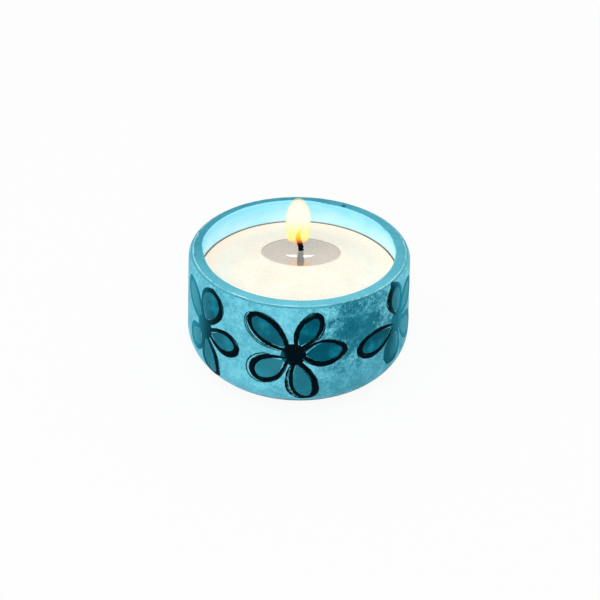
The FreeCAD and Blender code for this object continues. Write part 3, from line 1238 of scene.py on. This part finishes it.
@dataclass
class Cup:
    """The glass and the teal coat on it."""

    form: CupForm
    wax_height: float
    run_angle: float = 152.0
    run_spread: float = 34.0
    run_length: float = 0.55 * MM
    thin_lap: float = 0.66 * MM
    ragged: float = 0.1 * MM

    def build(self) -> None:
        """Makes both pieces and dresses them."""
        soda = FrostedSodaGlass(rim_height=self.form.height, wax_height=self.wax_height)
        settle(self.glass(), "glass_cup", soda.material(), GLASS_CREASE)
        wash = TealWash(radius=self.form.radius, height=self.form.height, mouth=self.form.mouth)
        settle(self.coat(), "colour_coat", wash.material(), GLASS_CREASE)

    def glass(self) -> Piece:
        """Turns the glass, from the middle of its push-up round the heel and rim to its inner floor.

        Returns:
            The glass.
        """
        form = self.form
        ring = form.radius - form.heel - form.bearing_ring
        dome = (ring ** 2 + form.push_up ** 2) / (2 * form.push_up)
        dome_turn = math.degrees(math.asin(ring / dome))
        profile = arc(0, form.push_up - dome, dome, 90, 90 - dome_turn, 12)
        profile += form.heel_side(0, -90)
        profile += form.rim(0) + form.under_bead()
        bend = form.inner_heel
        profile += arc(form.inner_radius - bend, form.floor_top + bend, bend, 0, -90, 10)
        profile.append((0, form.floor_top))
        return form_ovals("cup_glass_body", turned(profile), ROUND_SEGMENTS)

    def coat(self) -> Piece:
        """Turns the coat as a thin closed skin and lets its inner edge run as wet paint does.

        Returns:
            The coat.
        """
        form = self.form
        lap_height = form.height - form.lap
        sides = []
        for skin in (form.coat, 0):
            side = form.heel_side(skin, form.hem_turn()) + form.rim(skin)
            lap_radius = form.mouth - skin
            side.append((lap_radius, form.height - form.rim_arris - 0.01 * form.lap))
            side.append((lap_radius, lap_height))
            sides.append(side)
        outside, inside = sides
        profile = outside + inside[::-1] + outside[:1]
        coat = form_ovals("teal_wash_coat", turned(profile), 2 * ROUND_SEGMENTS)
        for vertex in coat.data.vertices:
            if abs(vertex.co.z - lap_height) < 0.5 * form.coat:
                if math.hypot(vertex.co.x, vertex.co.y) < form.mouth + 0.5 * form.coat:
                    vertex.co.z = form.height - self.run(math.atan2(vertex.co.x, -vertex.co.y))
        return coat

    def run(self, around: float) -> float:
        """Gives how far the paint has run down inside the rim.

        Args:
            around: the place round the cup from the front, in radians.

        Returns:
            How far below the rim's top the paint ends.
        """
        off = abs(math.degrees(around) - self.run_angle)
        drip = self.run_length * smooth_step(off, self.run_spread, 0.5 * self.run_spread)
        ragged = 0.6 + 0.7 * waver(11 * around, 2.0) + 0.35 * waver(45 * around, 5.0)
        return self.thin_lap + (self.ragged + drip) * max(ragged, 0.0)


# A point of painted film: its place across, up and out from the coat, and how thin the paint is there.
Dab = tuple[float, float, float, float]


class Stray(NamedTuple):
    """A scratch of loose bristles beside a petal's outline: where it runs, how far off, and how wide."""

    first: float
    last: float
    gap: float
    width: float


class Petal(NamedTuple):
    """One painted petal: its turn from level and its reach, and how the brush went round and over it."""

    turn: float
    share: float
    wide: float
    heavy: float
    pale: float = 0.0
    strays: tuple[Stray, ...] = ()
    tip: float = 2.0
    fullest: float = 0.62
    faint: float = 0.0


class Style(Enum):
    """The three ways a flower is painted."""

    OPEN = (
        Petal(
            137, 0.95, 0.95, 0.68, 0.1,
            (Stray(0.06, 0.55, 2.0 * MM, 0.3 * MM), Stray(0.1, 0.5, 1.4 * MM, 0.34 * MM)),
        ),
        Petal(62, 0.83, 0.84, 0.36, 0.0, (Stray(0.6, 0.8, 1.25 * MM, 0.4 * MM),), 2.0, 0.56),
        Petal(3, 0.84, 1.06, 0.66, 0.0, (), 1.7, 0.54),
        Petal(
            -74, 0.93, 0.94, 0.34, 0.34,
            (Stray(0.52, 0.95, 1.75 * MM, 0.72 * MM), Stray(0.6, 0.9, 1.1 * MM, 0.2 * MM)),
        ),
        Petal(-144, 0.82, 1.04, 0.5, 0.48, (Stray(0.33, 0.86, 1.9 * MM, 0.34 * MM),)),
    )
    LOW = (
        Petal(
            97, 0.73, 0.9, 0.36, 0.34,
            (Stray(0.14, 0.55, 1.7 * MM, 0.4 * MM), Stray(0.2, 0.5, 1.2 * MM, 0.3 * MM)),
        ),
        Petal(38, 0.78, 1.0, 0.6),
        Petal(-38, 0.84, 1.0, 0.4),
        Petal(-105, 0.77, 1.0, 0.6, faint=0.62),
        Petal(-167, 0.93, 1.0, 0.46),
    )
    TALL = (
        Petal(72, 0.84, 1.18, 0.72, 0.05),
        Petal(-6, 0.77, 0.95, 0.58, 0.2),
        Petal(-73, 0.89, 0.9, 0.3, 0.4),
        Petal(-130, 0.66, 1.0, 0.6),
        Petal(132, 0.87, 1.0, 0.4),
    )


@dataclass
class Flower:
    """One painted flower: its filled petals and its brushed outline with the eye."""

    name: str
    degrees: float
    style: Style
    form: CupForm
    rise: float
    # Paler paint to one side of the flower: thinner paint, and on the flowers at the cup's sides a painted
    # sheen where the wall turns away.
    paler_side: Side = Side.NONE
    paler_middle: float = 0.0
    paler_reach: float = 6 * MM
    eye_pale: float = 0.0
    count: int = 6
    petal_width: float = 10.2 * MM
    petal_start: float = 2.0 * MM
    stroke: float = 1.9 * MM
    eye: float = 4.2 * MM
    ragged: float = 0.16 * MM
    fill_lift: float = 0.12 * MM
    ink_lift: float = 0.28 * MM
    edge_lift: float = 0.06 * MM
    film: float = 0.2 * MM
    fill_faces: tuple[int, int] = (36, 12)
    stroke_faces: tuple[int, int] = (240, 6)
    stray_faces: tuple[int, int] = (110, 3)
    eye_faces: tuple[int, int] = (72, 8)
    eye_row: float = 40
    most_pale: float = 0.97
    side_share: float = 0.54
    way_step: float = 0.004

    def build(self, petal_paint: bpy.types.Material, outline_paint: bpy.types.Material) -> None:
        """Makes both pieces and dresses them.

        Args:
            petal_paint: the finish of the filled petals.
            outline_paint: the finish of the outline.
        """
        fills = [self.fill(number, petal) for number, petal in enumerate(self.style.value)]
        petals = self.finished(self.name + "_filled_petals", fills)
        settle(petals, self.name + "_petals", petal_paint, PAINT_CREASE)
        strokes = [self.eye_spot()]
        for number, petal in enumerate(self.style.value):
            strokes.append(self.outline(number, petal))
            strokes += [self.stray(number, petal, stray) for stray in petal.strays]
        outline = self.finished(self.name + "_brushed_outline", strokes)
        settle(outline, self.name + "_outline", outline_paint, PAINT_CREASE)

    def finished(self, name: str, sheets: Sequence[Piece]) -> Piece:
        """Joins sheets of paint and gives them their thickness.

        Args:
            name: the piece's name.
            sheets: the sheets as they lie on the cup, facing outwards.

        Returns:
            The piece.
        """
        piece = join(name, sheets)
        apply_modifier(piece, "SOLIDIFY", thickness=self.film, offset=-1.0)
        return piece

    def sheet(self, columns: int, rows: int, row: float, draw: Callable[[float, float], Dab]) -> Piece:
        """Lays one sheet of paint on the cup.

        Args:
            columns: how many faces the sheet has along the brush's way.
            rows: how many faces it has across it.
            row: a number of its own, which moves its brush marks along.
            draw: gives a point of the film for the shares along and across.

        Returns:
            The sheet, with how thin its paint is, and its painted sheen, as an attribute.
        """
        deselect_all()
        bpy.ops.mesh.primitive_grid_add(x_subdivisions=columns, y_subdivisions=rows, size=2.0)
        sheet = bpy.context.object
        middle = self.form.height / 2 + self.rise
        angle = math.radians(self.degrees)
        thinning = sheet.data.attributes.new(THINNING_AND_SHEEN, "FLOAT", "POINT")
        for vertex, thin in zip(sheet.data.vertices, thinning.data):
            across, up, lift, pale = draw((vertex.co.x + 1) / 2, (vertex.co.y + 1) / 2)
            vertex.co = self.form.on_coat(angle, across, middle + up, lift)
            thin.value = max(self.thinning(across), pale)
        for corner in sheet.data.uv_layers.active.uv:
            corner.vector.x += row
        return sheet

    def thinning(self, across: float) -> float:
        """Gives how much paler the paint is at a place across the flower: thinner paint, and also a painted
        sheen.

        Args:
            across: how far the place is to the right of the flower's middle.

        Returns:
            How much paler, from 0 to its most.
        """
        if self.paler_side is Side.NONE:
            return 0.0
        past = across * self.paler_side.value - self.paler_middle
        return self.most_pale * smooth_step(past, -self.paler_reach, self.paler_reach)

    def crown(self, edge: float, top: float) -> float:
        """Gives how far a stroke stands out, from its top in the middle to its edge at -1 and 1."""
        return self.edge_lift + (top - self.edge_lift) * (1 - edge * edge)

    def reach(self, petal: Petal) -> float:
        """Gives a petal's length from the flower's middle, as its share of half the flower's space."""
        return petal.share * math.pi * self.form.radius / self.count

    def half_width(self, petal: Petal, along: float, width: float) -> float:
        """Gives half a petal's width: a swelling side, then a round or pointed tip.

        Args:
            petal: the petal.
            along: the share of its length.
            width: its width where it is fullest.

        Returns:
            Half its width there.
        """
        if along < petal.fullest:
            return width / 2 * math.sin(math.pi / 2 * along / petal.fullest)
        past = min((along - petal.fullest) / (1 - petal.fullest), 1.0)
        return width / 2 * (1 - past ** petal.tip) ** (1 / petal.tip)

    def turned_out(self, petal: Petal, along: float, side: float) -> Point:
        """Turns a point of a petal drawn to the right into the petal's own direction.

        Args:
            petal: the petal.
            along: how far along the petal the point is.
            side: how far it is to the petal's left.

        Returns:
            The point's place across and up from the flower's middle.
        """
        turn = math.radians(petal.turn)
        return (
            along * math.cos(turn) - side * math.sin(turn),
            along * math.sin(turn) + side * math.cos(turn),
        )

    def fill(self, number: int, petal: Petal) -> Piece:
        """Lays one filled petal, which ends under its outline.

        Args:
            number: the petal's number in the flower.
            petal: the petal.

        Returns:
            The sheet.
        """
        start = self.petal_start + self.stroke
        length = self.reach(petal) - 0.6 * self.stroke - start
        width = self.petal_width * petal.wide - 1.3 * self.stroke

        def draw(share: float, across: float) -> Dab:
            """Places a point of the filled petal.

            Args:
                share: the share along the brush's way.
                across: the share across it.

            Returns:
                The point of the film.
            """
            along = 0.5 - 0.5 * math.cos(math.pi * share)
            edge = 2 * across - 1
            rough = 0.98 + 0.09 * waver(9 * share, number + self.degrees + 3 * math.copysign(1, edge))
            side = edge * rough * self.half_width(petal, along, width)
            place = self.turned_out(petal, start + along * length, side)
            return *place, self.crown(edge, self.fill_lift), math.sqrt(petal.pale)

        return self.sheet(*self.fill_faces, number, draw)

    def loop(self, petal: Petal, share: float, inset: float) -> Point:
        """Gives a point on a petal's outline, from its foot round its left side and tip and back.

        Args:
            petal: the petal.
            share: how far round the outline the point is, from 0 to 1.
            inset: how far inside the petal's edge the line runs.

        Returns:
            The point along the petal and to its left.
        """
        length = self.reach(petal) - inset - self.petal_start
        width = self.petal_width * petal.wide - 2 * inset
        out = 1 - abs(2 * share - 1)
        if out < self.side_share:
            along = petal.fullest * out / self.side_share
        else:
            past = math.sin(math.pi / 2 * (out - self.side_share) / (1 - self.side_share))
            along = petal.fullest + (1 - petal.fullest) * past
        side = math.copysign(self.half_width(petal, along, width), 0.5 - share)
        return self.petal_start + along * length, side

    def beside(self, petal: Petal, share: float, inset: float, offset: float) -> Point:
        """Gives a point beside a petal's outline.

        Args:
            petal: the petal.
            share: how far round the outline the point is, from 0 to 1.
            inset: how far inside the petal's edge the outline runs.
            offset: how far outside the outline the point is.

        Returns:
            The point along the petal and to its left.
        """
        before = self.loop(petal, max(share - self.way_step, 0.0), inset)
        after = self.loop(petal, min(share + self.way_step, 1.0), inset)
        way = Vector((after[0] - before[0], after[1] - before[1])).normalized()
        at = self.loop(petal, share, inset)
        return at[0] - way.y * offset, at[1] + way.x * offset

    def outline(self, number: int, petal: Petal) -> Piece:
        """Lays the brush stroke round one petal, heavy where the brush was pressed.

        Args:
            number: the petal's number in the flower.
            petal: the petal.

        Returns:
            The sheet.
        """
        own = number + self.degrees

        def draw(share: float, across: float) -> Dab:
            """Places a point of the stroke.

            Args:
                share: the share along the brush's way.
                across: the share across it.

            Returns:
                The point of the film.
            """
            edge = 2 * across - 1
            press = math.cos(math.pi * (share - petal.heavy)) ** 2
            half = self.stroke / 2 * (0.66 + 0.55 * press + 0.24 * waver(6 * share, own))
            rough = self.ragged * (0.6 * waver(30 * share, own + edge) + waver(170 * share, own - edge))
            offset = edge * (half + abs(edge) * rough)
            along, side = self.beside(petal, share, self.stroke / 2, offset)
            return *self.turned_out(petal, along, side), self.crown(edge, self.ink_lift), petal.faint

        return self.sheet(*self.stroke_faces, number, draw)

    def stray(self, number: int, petal: Petal, stray: Stray) -> Piece:
        """Lays a scratch that loose bristles left beside a petal's outline.

        Args:
            number: the petal's number in the flower.
            petal: the petal.
            stray: the scratch.

        Returns:
            The sheet.
        """
        own = 10 * number + stray.first

        def draw(share: float, across: float) -> Dab:
            """Places a point of the scratch.

            Args:
                share: the share along the brush's way.
                across: the share across it.

            Returns:
                The point of the film.
            """
            edge = 2 * across - 1
            round_loop = stray.first + (stray.last - stray.first) * share
            bow = math.sin(math.pi * share) ** 0.6
            gap = 0.25 * self.stroke * (1 - bow) + stray.gap * bow * (1 + 0.12 * waver(6 * share, own))
            half = stray.width / 2 * (0.35 + 0.75 * bow) * (1 + 0.5 * waver(24 * share, own + 0.5))
            along, side = self.beside(petal, round_loop, self.stroke / 2, gap + edge * half)
            lift = self.edge_lift + 0.4 * (self.ink_lift - self.edge_lift) * (1 - edge * edge)
            return *self.turned_out(petal, along, side), lift, 0.0

        return self.sheet(*self.stray_faces, own, draw)

    def eye_spot(self) -> Piece:
        """Lays the round spot of ink in the flower's middle.

        Returns:
            The sheet, closed in its middle.
        """

        def draw(share: float, across: float) -> Dab:
            """Places a point of the spot.

            Args:
                share: the share of the way round it.
                across: the share of the way out from its middle.

            Returns:
                The point of the film.
            """
            turn = -2 * math.pi * share
            rim = 1 + 0.06 * waver(1.5 * math.cos(turn) + 3, 1.5 * math.sin(turn) + self.degrees)
            rim += 0.03 * waver(6 * math.cos(turn), 6 * math.sin(turn) + self.degrees)
            radius = self.eye * rim * across
            lift = self.edge_lift + (self.ink_lift - self.edge_lift) * (1 - across ** 4)
            thin = max(self.eye_pale, 0.6 * smooth_step(-math.cos(turn - 0.4) * across, 0.45, 0.8))
            return radius * math.cos(turn), radius * math.sin(turn), lift, thin

        spot = self.sheet(*self.eye_faces, self.eye_row, draw)
        for corner in spot.data.uv_layers.active.uv:
            corner.vector = (0.1 * corner.vector.x, 0.5 + 0.1 * corner.vector.y)
        with editing(spot):
            bpy.ops.mesh.remove_doubles(threshold=WELD)
        return spot


@dataclass
class Candle:
    """The wax, its melt pool, the wick on its foot and the flame."""

    form: CupForm
    wax_gap: float
    wax_edge: float = 0.8 * MM
    lip: float = 0.9 * MM
    pool_depth: float = 9.0 * MM
    relief: float = 0.14 * MM
    meniscus: float = 0.45 * MM
    meniscus_reach: float = 2.2 * MM
    wick_straight: float = 1.4 * MM
    lean_radius: float = 6.0 * MM
    lean: float = 25.0
    curl_radius: float = 5.5 * MM
    curl: float = 70.0
    plait_pitch: float = 3.6 * MM
    plait_side: float = 0.66 * MM
    plait_depth: float = 0.3 * MM
    strand: float = 0.44 * MM
    soaked_swell: float = 0.3
    flame_blunt: float = 2.4 * MM
    flame_straight: float = 6.6 * MM
    flame_taper: float = 0.92
    flame_slope: float = 0.62
    wick_lean: float = 0.5 * MM
    wick_step: float = 0.25 * MM
    strands: int = 3
    soaked_band: Point = (6 * MM, 7 * MM)
    burnt_length: float = 6 * MM
    burnt_loss: float = 0.6
    basin_turns: tuple[int, ...] = (5, 10, 16, 24, 34, 46, 60, 75, 90)
    overlap: float = 0.1 * MM
    wax_rings: int = 30
    top_slack: float = 0.01 * MM
    pool_rings: int = 40
    flame_step: int = 3
    flame_shells: tuple[Point, ...] = ((0.0, 0.99), (0.5, 0.92), (1.0, 0.8))

    def __post_init__(self) -> None:
        """Reads where the pool, the wick and the flame are from the frame."""
        self.wax_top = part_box("wax_fill")[1].z
        low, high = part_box("melt_pool")
        self.pool_middle = (low + high) / 2
        self.pool_top = high.z
        drop = (self.wax_top - self.pool_top) / self.pool_depth
        widening = 1 / math.sqrt(1 - drop * drop)
        self.pool_half_x = (high.x - low.x) / 2 * widening
        self.pool_half_y = (high.y - low.y) / 2 * widening
        low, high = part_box("wick_sustainer")
        self.wick_foot = Vector(((low.x + high.x) / 2, (low.y + high.y) / 2, low.z))
        self.flame_low, self.flame_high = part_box("flame")

    def build(self) -> None:
        """Makes the pieces and dresses them, with the tin foot and its pad as the frame has them."""
        liquid = MoltenParaffin(
            wick=self.wick_foot, middle=self.pool_middle, half_x=self.pool_half_x, half_y=self.pool_half_y
        )
        cotton = BurningCotton(pool=self.pool_top, tip=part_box("wick")[1].z)
        for make, node, slot, finish in (
            (self.wax, "wax_fill", Slot.WAX, PouredParaffin(radius=self.form.mouth)),
            (self.pool, "melt_pool", Slot.MOLTEN, liquid),
            (self.wick, "wick", Slot.WICK, cotton),
            (self.flame, "flame", Slot.FLAME, self.vapour()),
        ):
            settle(make(), node, finish.material(), WAX_CREASE)
        for node, finish in (("wick_sustainer", Tinplate()), ("sustainer_pad", FoamPad())):
            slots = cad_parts[node].data.materials
            slots.clear()
            slots.append(finish.material())
            log.info("%s keeps its CAD shape", node)

    def vapour(self) -> CandleFlame:
        """Gives the flame's finish, whose layers reach from its front foot to its dome.

        Returns:
            The finish.
        """
        half = self.flame_slope * (self.flame_high.x - self.flame_low.x) / 2
        low_ring = self.flame_low.z + self.flame_blunt
        high_ring = low_ring + self.flame_straight
        return CandleFlame(
            foot=(self.flame_low + self.flame_high) / 2,
            wick_x=self.wick_foot.x - self.wick_lean,
            low=low_ring - math.hypot(half, self.flame_blunt),
            high=high_ring + math.hypot(half, self.flame_high.z - high_ring),
            slope=self.flame_slope,
        )

    def basin(self, turn: float, spare: float) -> Oval:
        """Gives a ring of the pool's hollow.

        Args:
            turn: the ring's turn down from the wax's surface, in degrees.
            spare: how far it lies outside the hollow.

        Returns:
            The ring.
        """
        across = math.cos(math.radians(turn))
        return Oval(
            (self.pool_half_x + spare) * across,
            (self.pool_half_y + spare) * across,
            self.wax_top - (self.pool_depth + spare) * math.sin(math.radians(turn)),
            self.pool_middle.x,
            self.pool_middle.y,
        )

    def wax(self) -> Piece:
        """Forms the poured wax with its soft edge, its uneven top and the lip of the melted hollow.

        Returns:
            The wax.
        """
        radius = self.form.inner_radius - self.wax_gap
        heel = self.form.inner_heel
        profile = [(0, self.form.floor_top)]
        profile += arc(radius - heel, self.form.floor_top + heel, heel, -90, 0, 10)
        profile += arc(radius - self.wax_edge, self.wax_top - self.wax_edge, self.wax_edge, 0, 90, 6)
        ovals = turned(profile)
        rim = self.basin(0, 0)
        lip = Oval(rim.half_x + self.lip, rim.half_y + self.lip, self.wax_top, rim.centre_x, rim.centre_y)
        edge = ovals[-1]
        ovals += [between(edge, lip, step / self.wax_rings) for step in range(1, self.wax_rings + 1)]
        below = self.basin(self.basin_turns[0], 0)
        for share in (0.25, 0.5, 0.75):
            height = self.wax_top - (self.wax_top - below.height) * share ** 2
            ovals.append(between(lip, below, share)._replace(height=height))
        ovals += [self.basin(turn, 0) for turn in self.basin_turns]
        wax = form_ovals("poured_wax_body", ovals, ROUND_SEGMENTS)
        for vertex in wax.data.vertices:
            if vertex.co.z > self.wax_top - self.top_slack:
                x, y = vertex.co.x / MM, vertex.co.y / MM
                uneven = 0.7 + 0.5 * waver(x / 9, y / 9) + 0.35 * waver(x / 2.2, y / 2.2)
                vertex.co.z -= self.relief * uneven
        return wax

    def pool(self) -> Piece:
        """Forms the liquid, which climbs a little at the wax's lip and round the wick.

        Returns:
            The pool, which reaches a little into the wax so that nothing shows between them.
        """
        ovals = [self.basin(turn, self.overlap) for turn in self.basin_turns[:0:-1]]
        surface_turn = math.degrees(math.asin((self.wax_top - self.pool_top) / self.pool_depth))
        edge = self.basin(surface_turn, self.overlap)
        wick_radius = self.plait_side + self.strand
        stem = Oval(wick_radius, wick_radius, self.pool_top, self.wick_foot.x, self.wick_foot.y)
        for step in range(self.pool_rings + 1):
            share = step / self.pool_rings
            ring = between(edge, stem, 1 - (1 - share) ** 1.5)
            from_wick = min(ring.half_x, ring.half_y) - wick_radius
            from_edge = edge.half_y - ring.half_y
            climb = self.meniscus * math.exp(-from_wick / self.meniscus_reach)
            climb += 0.25 * self.meniscus * math.exp(-from_edge / (0.4 * self.meniscus_reach))
            ovals.append(ring._replace(height=self.pool_top + climb))
        ovals.append(ovals[-1]._replace(half_x=0.0, half_y=0.0))
        return form_ovals("melted_wax_pool", ovals, POOL_SEGMENTS)

    @property
    def wick_stem(self) -> float:
        """How long the wick is straight, from its foot to a little over the pool."""
        return self.pool_top + self.wick_straight - self.wick_foot.z

    def wick_line(self, along: float) -> tuple[Vector, Vector]:
        """Follows the wick's line: straight up, a lean to the left and a curl to the right.

        Args:
            along: how far from the wick's foot.

        Returns:
            The point there, and the way to the wick's right side.
        """
        stem = self.wick_stem
        lean = math.radians(self.lean)
        if along <= stem:
            return self.wick_foot + Vector((0, 0, along)), Vector((1, 0, 0))
        start = self.wick_foot + Vector((-self.lean_radius, 0, stem))
        turn = min((along - stem) / self.lean_radius, lean)
        out = Vector((math.cos(turn), 0, math.sin(turn)))
        past = along - stem - lean * self.lean_radius
        if past <= 0:
            return start + out * self.lean_radius, out
        centre = start + out * (self.lean_radius + self.curl_radius)
        turn = lean - past / self.curl_radius
        out = Vector((math.cos(turn), 0, math.sin(turn)))
        return centre - out * self.curl_radius, out

    def wick(self) -> Piece:
        """Plaits the wick from three strands.

        Returns:
            The wick.
        """
        bent = math.radians(self.lean) * self.lean_radius + math.radians(self.curl) * self.curl_radius
        length = self.wick_stem + bent
        steps = round(length / self.wick_step)
        soak_start, soak_end = self.soaked_band
        strands = []
        for number in range(self.strands):
            path = bpy.data.curves.new("strand", "CURVE")
            path.dimensions = "3D"
            path.bevel_depth = self.strand
            path.bevel_resolution = 2
            path.use_fill_caps = True
            spline = path.splines.new("POLY")
            spline.points.add(steps)
            for step, point in enumerate(spline.points):
                along = length * step / steps
                middle, right = self.wick_line(along)
                phase = 2 * math.pi * (along / self.plait_pitch + number / self.strands)
                depth = self.pool_top - middle.z
                soaked = smooth_step(depth, 0.0, soak_start) * smooth_step(depth, self.pool_depth, soak_end)
                burnt = self.burnt_loss * smooth_step(along, length - self.burnt_length, length)
                swell = (1 + self.soaked_swell * soaked) * (1 - burnt)
                at = middle + right * (swell * self.plait_side * math.sin(phase))
                at.y += self.plait_depth * math.sin(2 * phase)
                point.co = (*at, 1.0)
                point.radius = swell
            strand = bpy.data.objects.new("strand", path)
            bpy.context.scene.collection.objects.link(strand)
            pick(strand)
            bpy.ops.object.convert(target="MESH")
            close_up(strand)
            strands.append(strand)
        return join("plaited_wick", strands)

    def flame(self) -> Piece:
        """Forms the flame as shells one inside the other: a blunt foot, a straight side and a dome.

        Returns:
            The flame, with an attribute that rises from its veil to its core.
        """
        half = (self.flame_high.x - self.flame_low.x) / 2
        middle = (self.flame_low + self.flame_high) / 2
        low_ring = self.flame_low.z + self.flame_blunt
        high_ring = low_ring + self.flame_straight
        dome = self.flame_high.z - high_ring
        shells = []
        for core, share in self.flame_shells:
            ovals = []
            for degrees in range(-90, 91, self.flame_step):
                turn = math.radians(degrees)
                ring, rise, taper = low_ring, self.flame_blunt, self.flame_taper
                if degrees >= 0:
                    ring, rise, taper = high_ring, dome, 1.0
                across = half * share * taper * math.cos(turn)
                ovals.append(Oval(across, across, ring + rise * share * math.sin(turn), middle.x, middle.y))
            shell = form_ovals("flame_shell", ovals, FLAME_SEGMENTS)
            marks = shell.data.attributes.new(CORE, "FLOAT", "POINT")
            marks.data.foreach_set("value", [core] * len(shell.data.vertices))
            shells.append(shell)
        return join("candle_flame_body", shells)


@dataclass
class Studio:
    """The white studio: its floor, light and camera."""

    target: Vector
    distance: float = 350 * MM
    elevation: float = 33.91
    roll: float = 1.2
    pixels_per_mm: float = 2.758
    picture: int = 600
    target_pixel: Point = (298.45, 300.7)
    nearest: float = 10 * MM
    ambient: float = 0.78
    white: str = "#FFFFFF"
    paper: str = "#F2F2F2"
    paper_glow: float = 0.92
    floor_size: float = 6.0
    lamp_place: tuple[float, float, float] = (-0.4, -0.7, 0.9)
    lamp_size: float = 1.2
    lamp_power: float = 4.0

    def build(self) -> None:
        """Sets the whole studio up."""
        self.floor()
        self.light()
        self.camera()
        bpy.context.scene.view_settings.view_transform = "Standard"

    def floor(self) -> None:
        """Lays the white floor, which keeps a faint shadow under the cup."""
        deselect_all()
        bpy.ops.mesh.primitive_plane_add(size=self.floor_size)
        floor = bpy.context.object
        floor.name = "studio_floor"
        paper = bpy.data.materials.new("white_backdrop_paper")
        paper.use_nodes = True
        tree = paper.node_tree
        tree.nodes.remove(tree.nodes["Principled BSDF"])
        seen = self.seen(tree)
        matt = add_node(tree, "BsdfDiffuse", {"Color": self.paper})
        glow = add_node(tree, "Emission", {"Color": self.white, "Strength": seen})
        mixed = add_node(tree, "MixShader", {0: self.paper_glow, 1: matt, 2: glow})
        whole = add_node(tree, "MixShader", {0: seen, 1: matt, 2: mixed})
        feed(tree.nodes["Material Output"], {"Surface": whole})
        floor.data.materials.append(paper)

    def seen(self, tree: bpy.types.NodeTree) -> Socket:
        """Tells what the camera sees from what only gives light.

        Args:
            tree: the node tree that gets the nodes.

        Returns:
            1 for what is seen, straight or in gloss and glass, and 0 for light.
        """
        path = add_node(tree, "LightPath").node.outputs
        seen = path["Is Camera Ray"]
        for ray in ("Is Glossy Ray", "Is Transmission Ray"):
            seen = add_node(tree, "Math", {0: seen, 1: path[ray]}, operation="MAXIMUM")
        return seen

    def light(self) -> None:
        """Hangs a white sky and one very large soft lamp."""
        world = bpy.data.worlds.new("white_studio")
        world.use_nodes = True
        tree = world.node_tree
        strength = add_node(tree, "MapRange", {"Value": self.seen(tree), "To Min": self.ambient})
        feed(tree.nodes["Background"], {"Color": self.white, "Strength": strength})
        bpy.context.scene.world = world
        place = Vector(self.lamp_place)
        deselect_all()
        bpy.ops.object.light_add(type="AREA", location=place)
        lamp = bpy.context.object
        lamp.name = "key_softbox"
        lamp.data.size = self.lamp_size
        lamp.data.energy = self.lamp_power
        lamp.rotation_euler = (place - self.target).to_track_quat("Z", "Y").to_euler()

    def camera(self) -> None:
        """Places the camera at the photograph's viewing angle."""
        tilt = math.radians(self.elevation)
        back = Vector((0, -math.cos(tilt), math.sin(tilt)))
        right = Vector((1, 0, 0))
        up = back.cross(right)
        facing = Matrix((right, up, back)).transposed().to_4x4()
        turn = facing @ Matrix.Rotation(math.radians(self.roll), 4, "Z")
        bpy.ops.object.camera_add()
        camera = bpy.context.object
        camera.matrix_world = Matrix.Translation(self.target + back * self.distance) @ turn
        lens = camera.data
        lens.lens = self.pixels_per_mm * (self.distance / MM) * lens.sensor_width / self.picture
        lens.shift_x = 0.5 - self.target_pixel[0] / self.picture
        lens.shift_y = self.target_pixel[1] / self.picture - 0.5
        lens.clip_start = self.nearest
        bpy.context.scene.camera = camera


def main() -> None:
    """Builds the candle and its studio."""
    logging.basicConfig(level=logging.INFO, format="%(name)s: %(message)s")
    wax_gap = 0.3 * MM
    form = CupForm.from_frame(wax_gap)
    Studio(target=Vector((0, 0, 20 * MM))).build()
    candle = Candle(form=form, wax_gap=wax_gap)
    Cup(form=form, wax_height=candle.wax_top).build()
    candle.build()
    petal_paint = PetalEnamel().material()
    outline_paint = OutlineEnamel().material()
    # Each flower's name, place round the cup, style, rise, and its paler side, where thinner paint also
    # stands as a painted sheen.
    flowers = (
        ("front_flower", -1.8, Style.OPEN, 3.9 * MM, ()),
        ("right_flower", 58.6, Style.LOW, 5.4 * MM, (Side.RIGHT, -2.5 * MM, 5 * MM, 0.8)),
        ("back_right_flower", 122.0, Style.TALL, 2.3 * MM, ()),
        ("back_flower", 181.0, Style.OPEN, 3.7 * MM, ()),
        ("back_left_flower", 245.0, Style.LOW, 4.6 * MM, (Side.RIGHT, 0.0, 6 * MM, 0.5)),
        ("left_flower", 306.9, Style.TALL, 3.1 * MM, (Side.LEFT, -1.6 * MM, 10 * MM, 0.43)),
    )
    for name, degrees, style, rise, thinning in flowers:
        flower = Flower(name, degrees, style, form, rise, *thinning)
        flower.build(petal_paint, outline_paint)


if __name__ == "__main__":
    main()
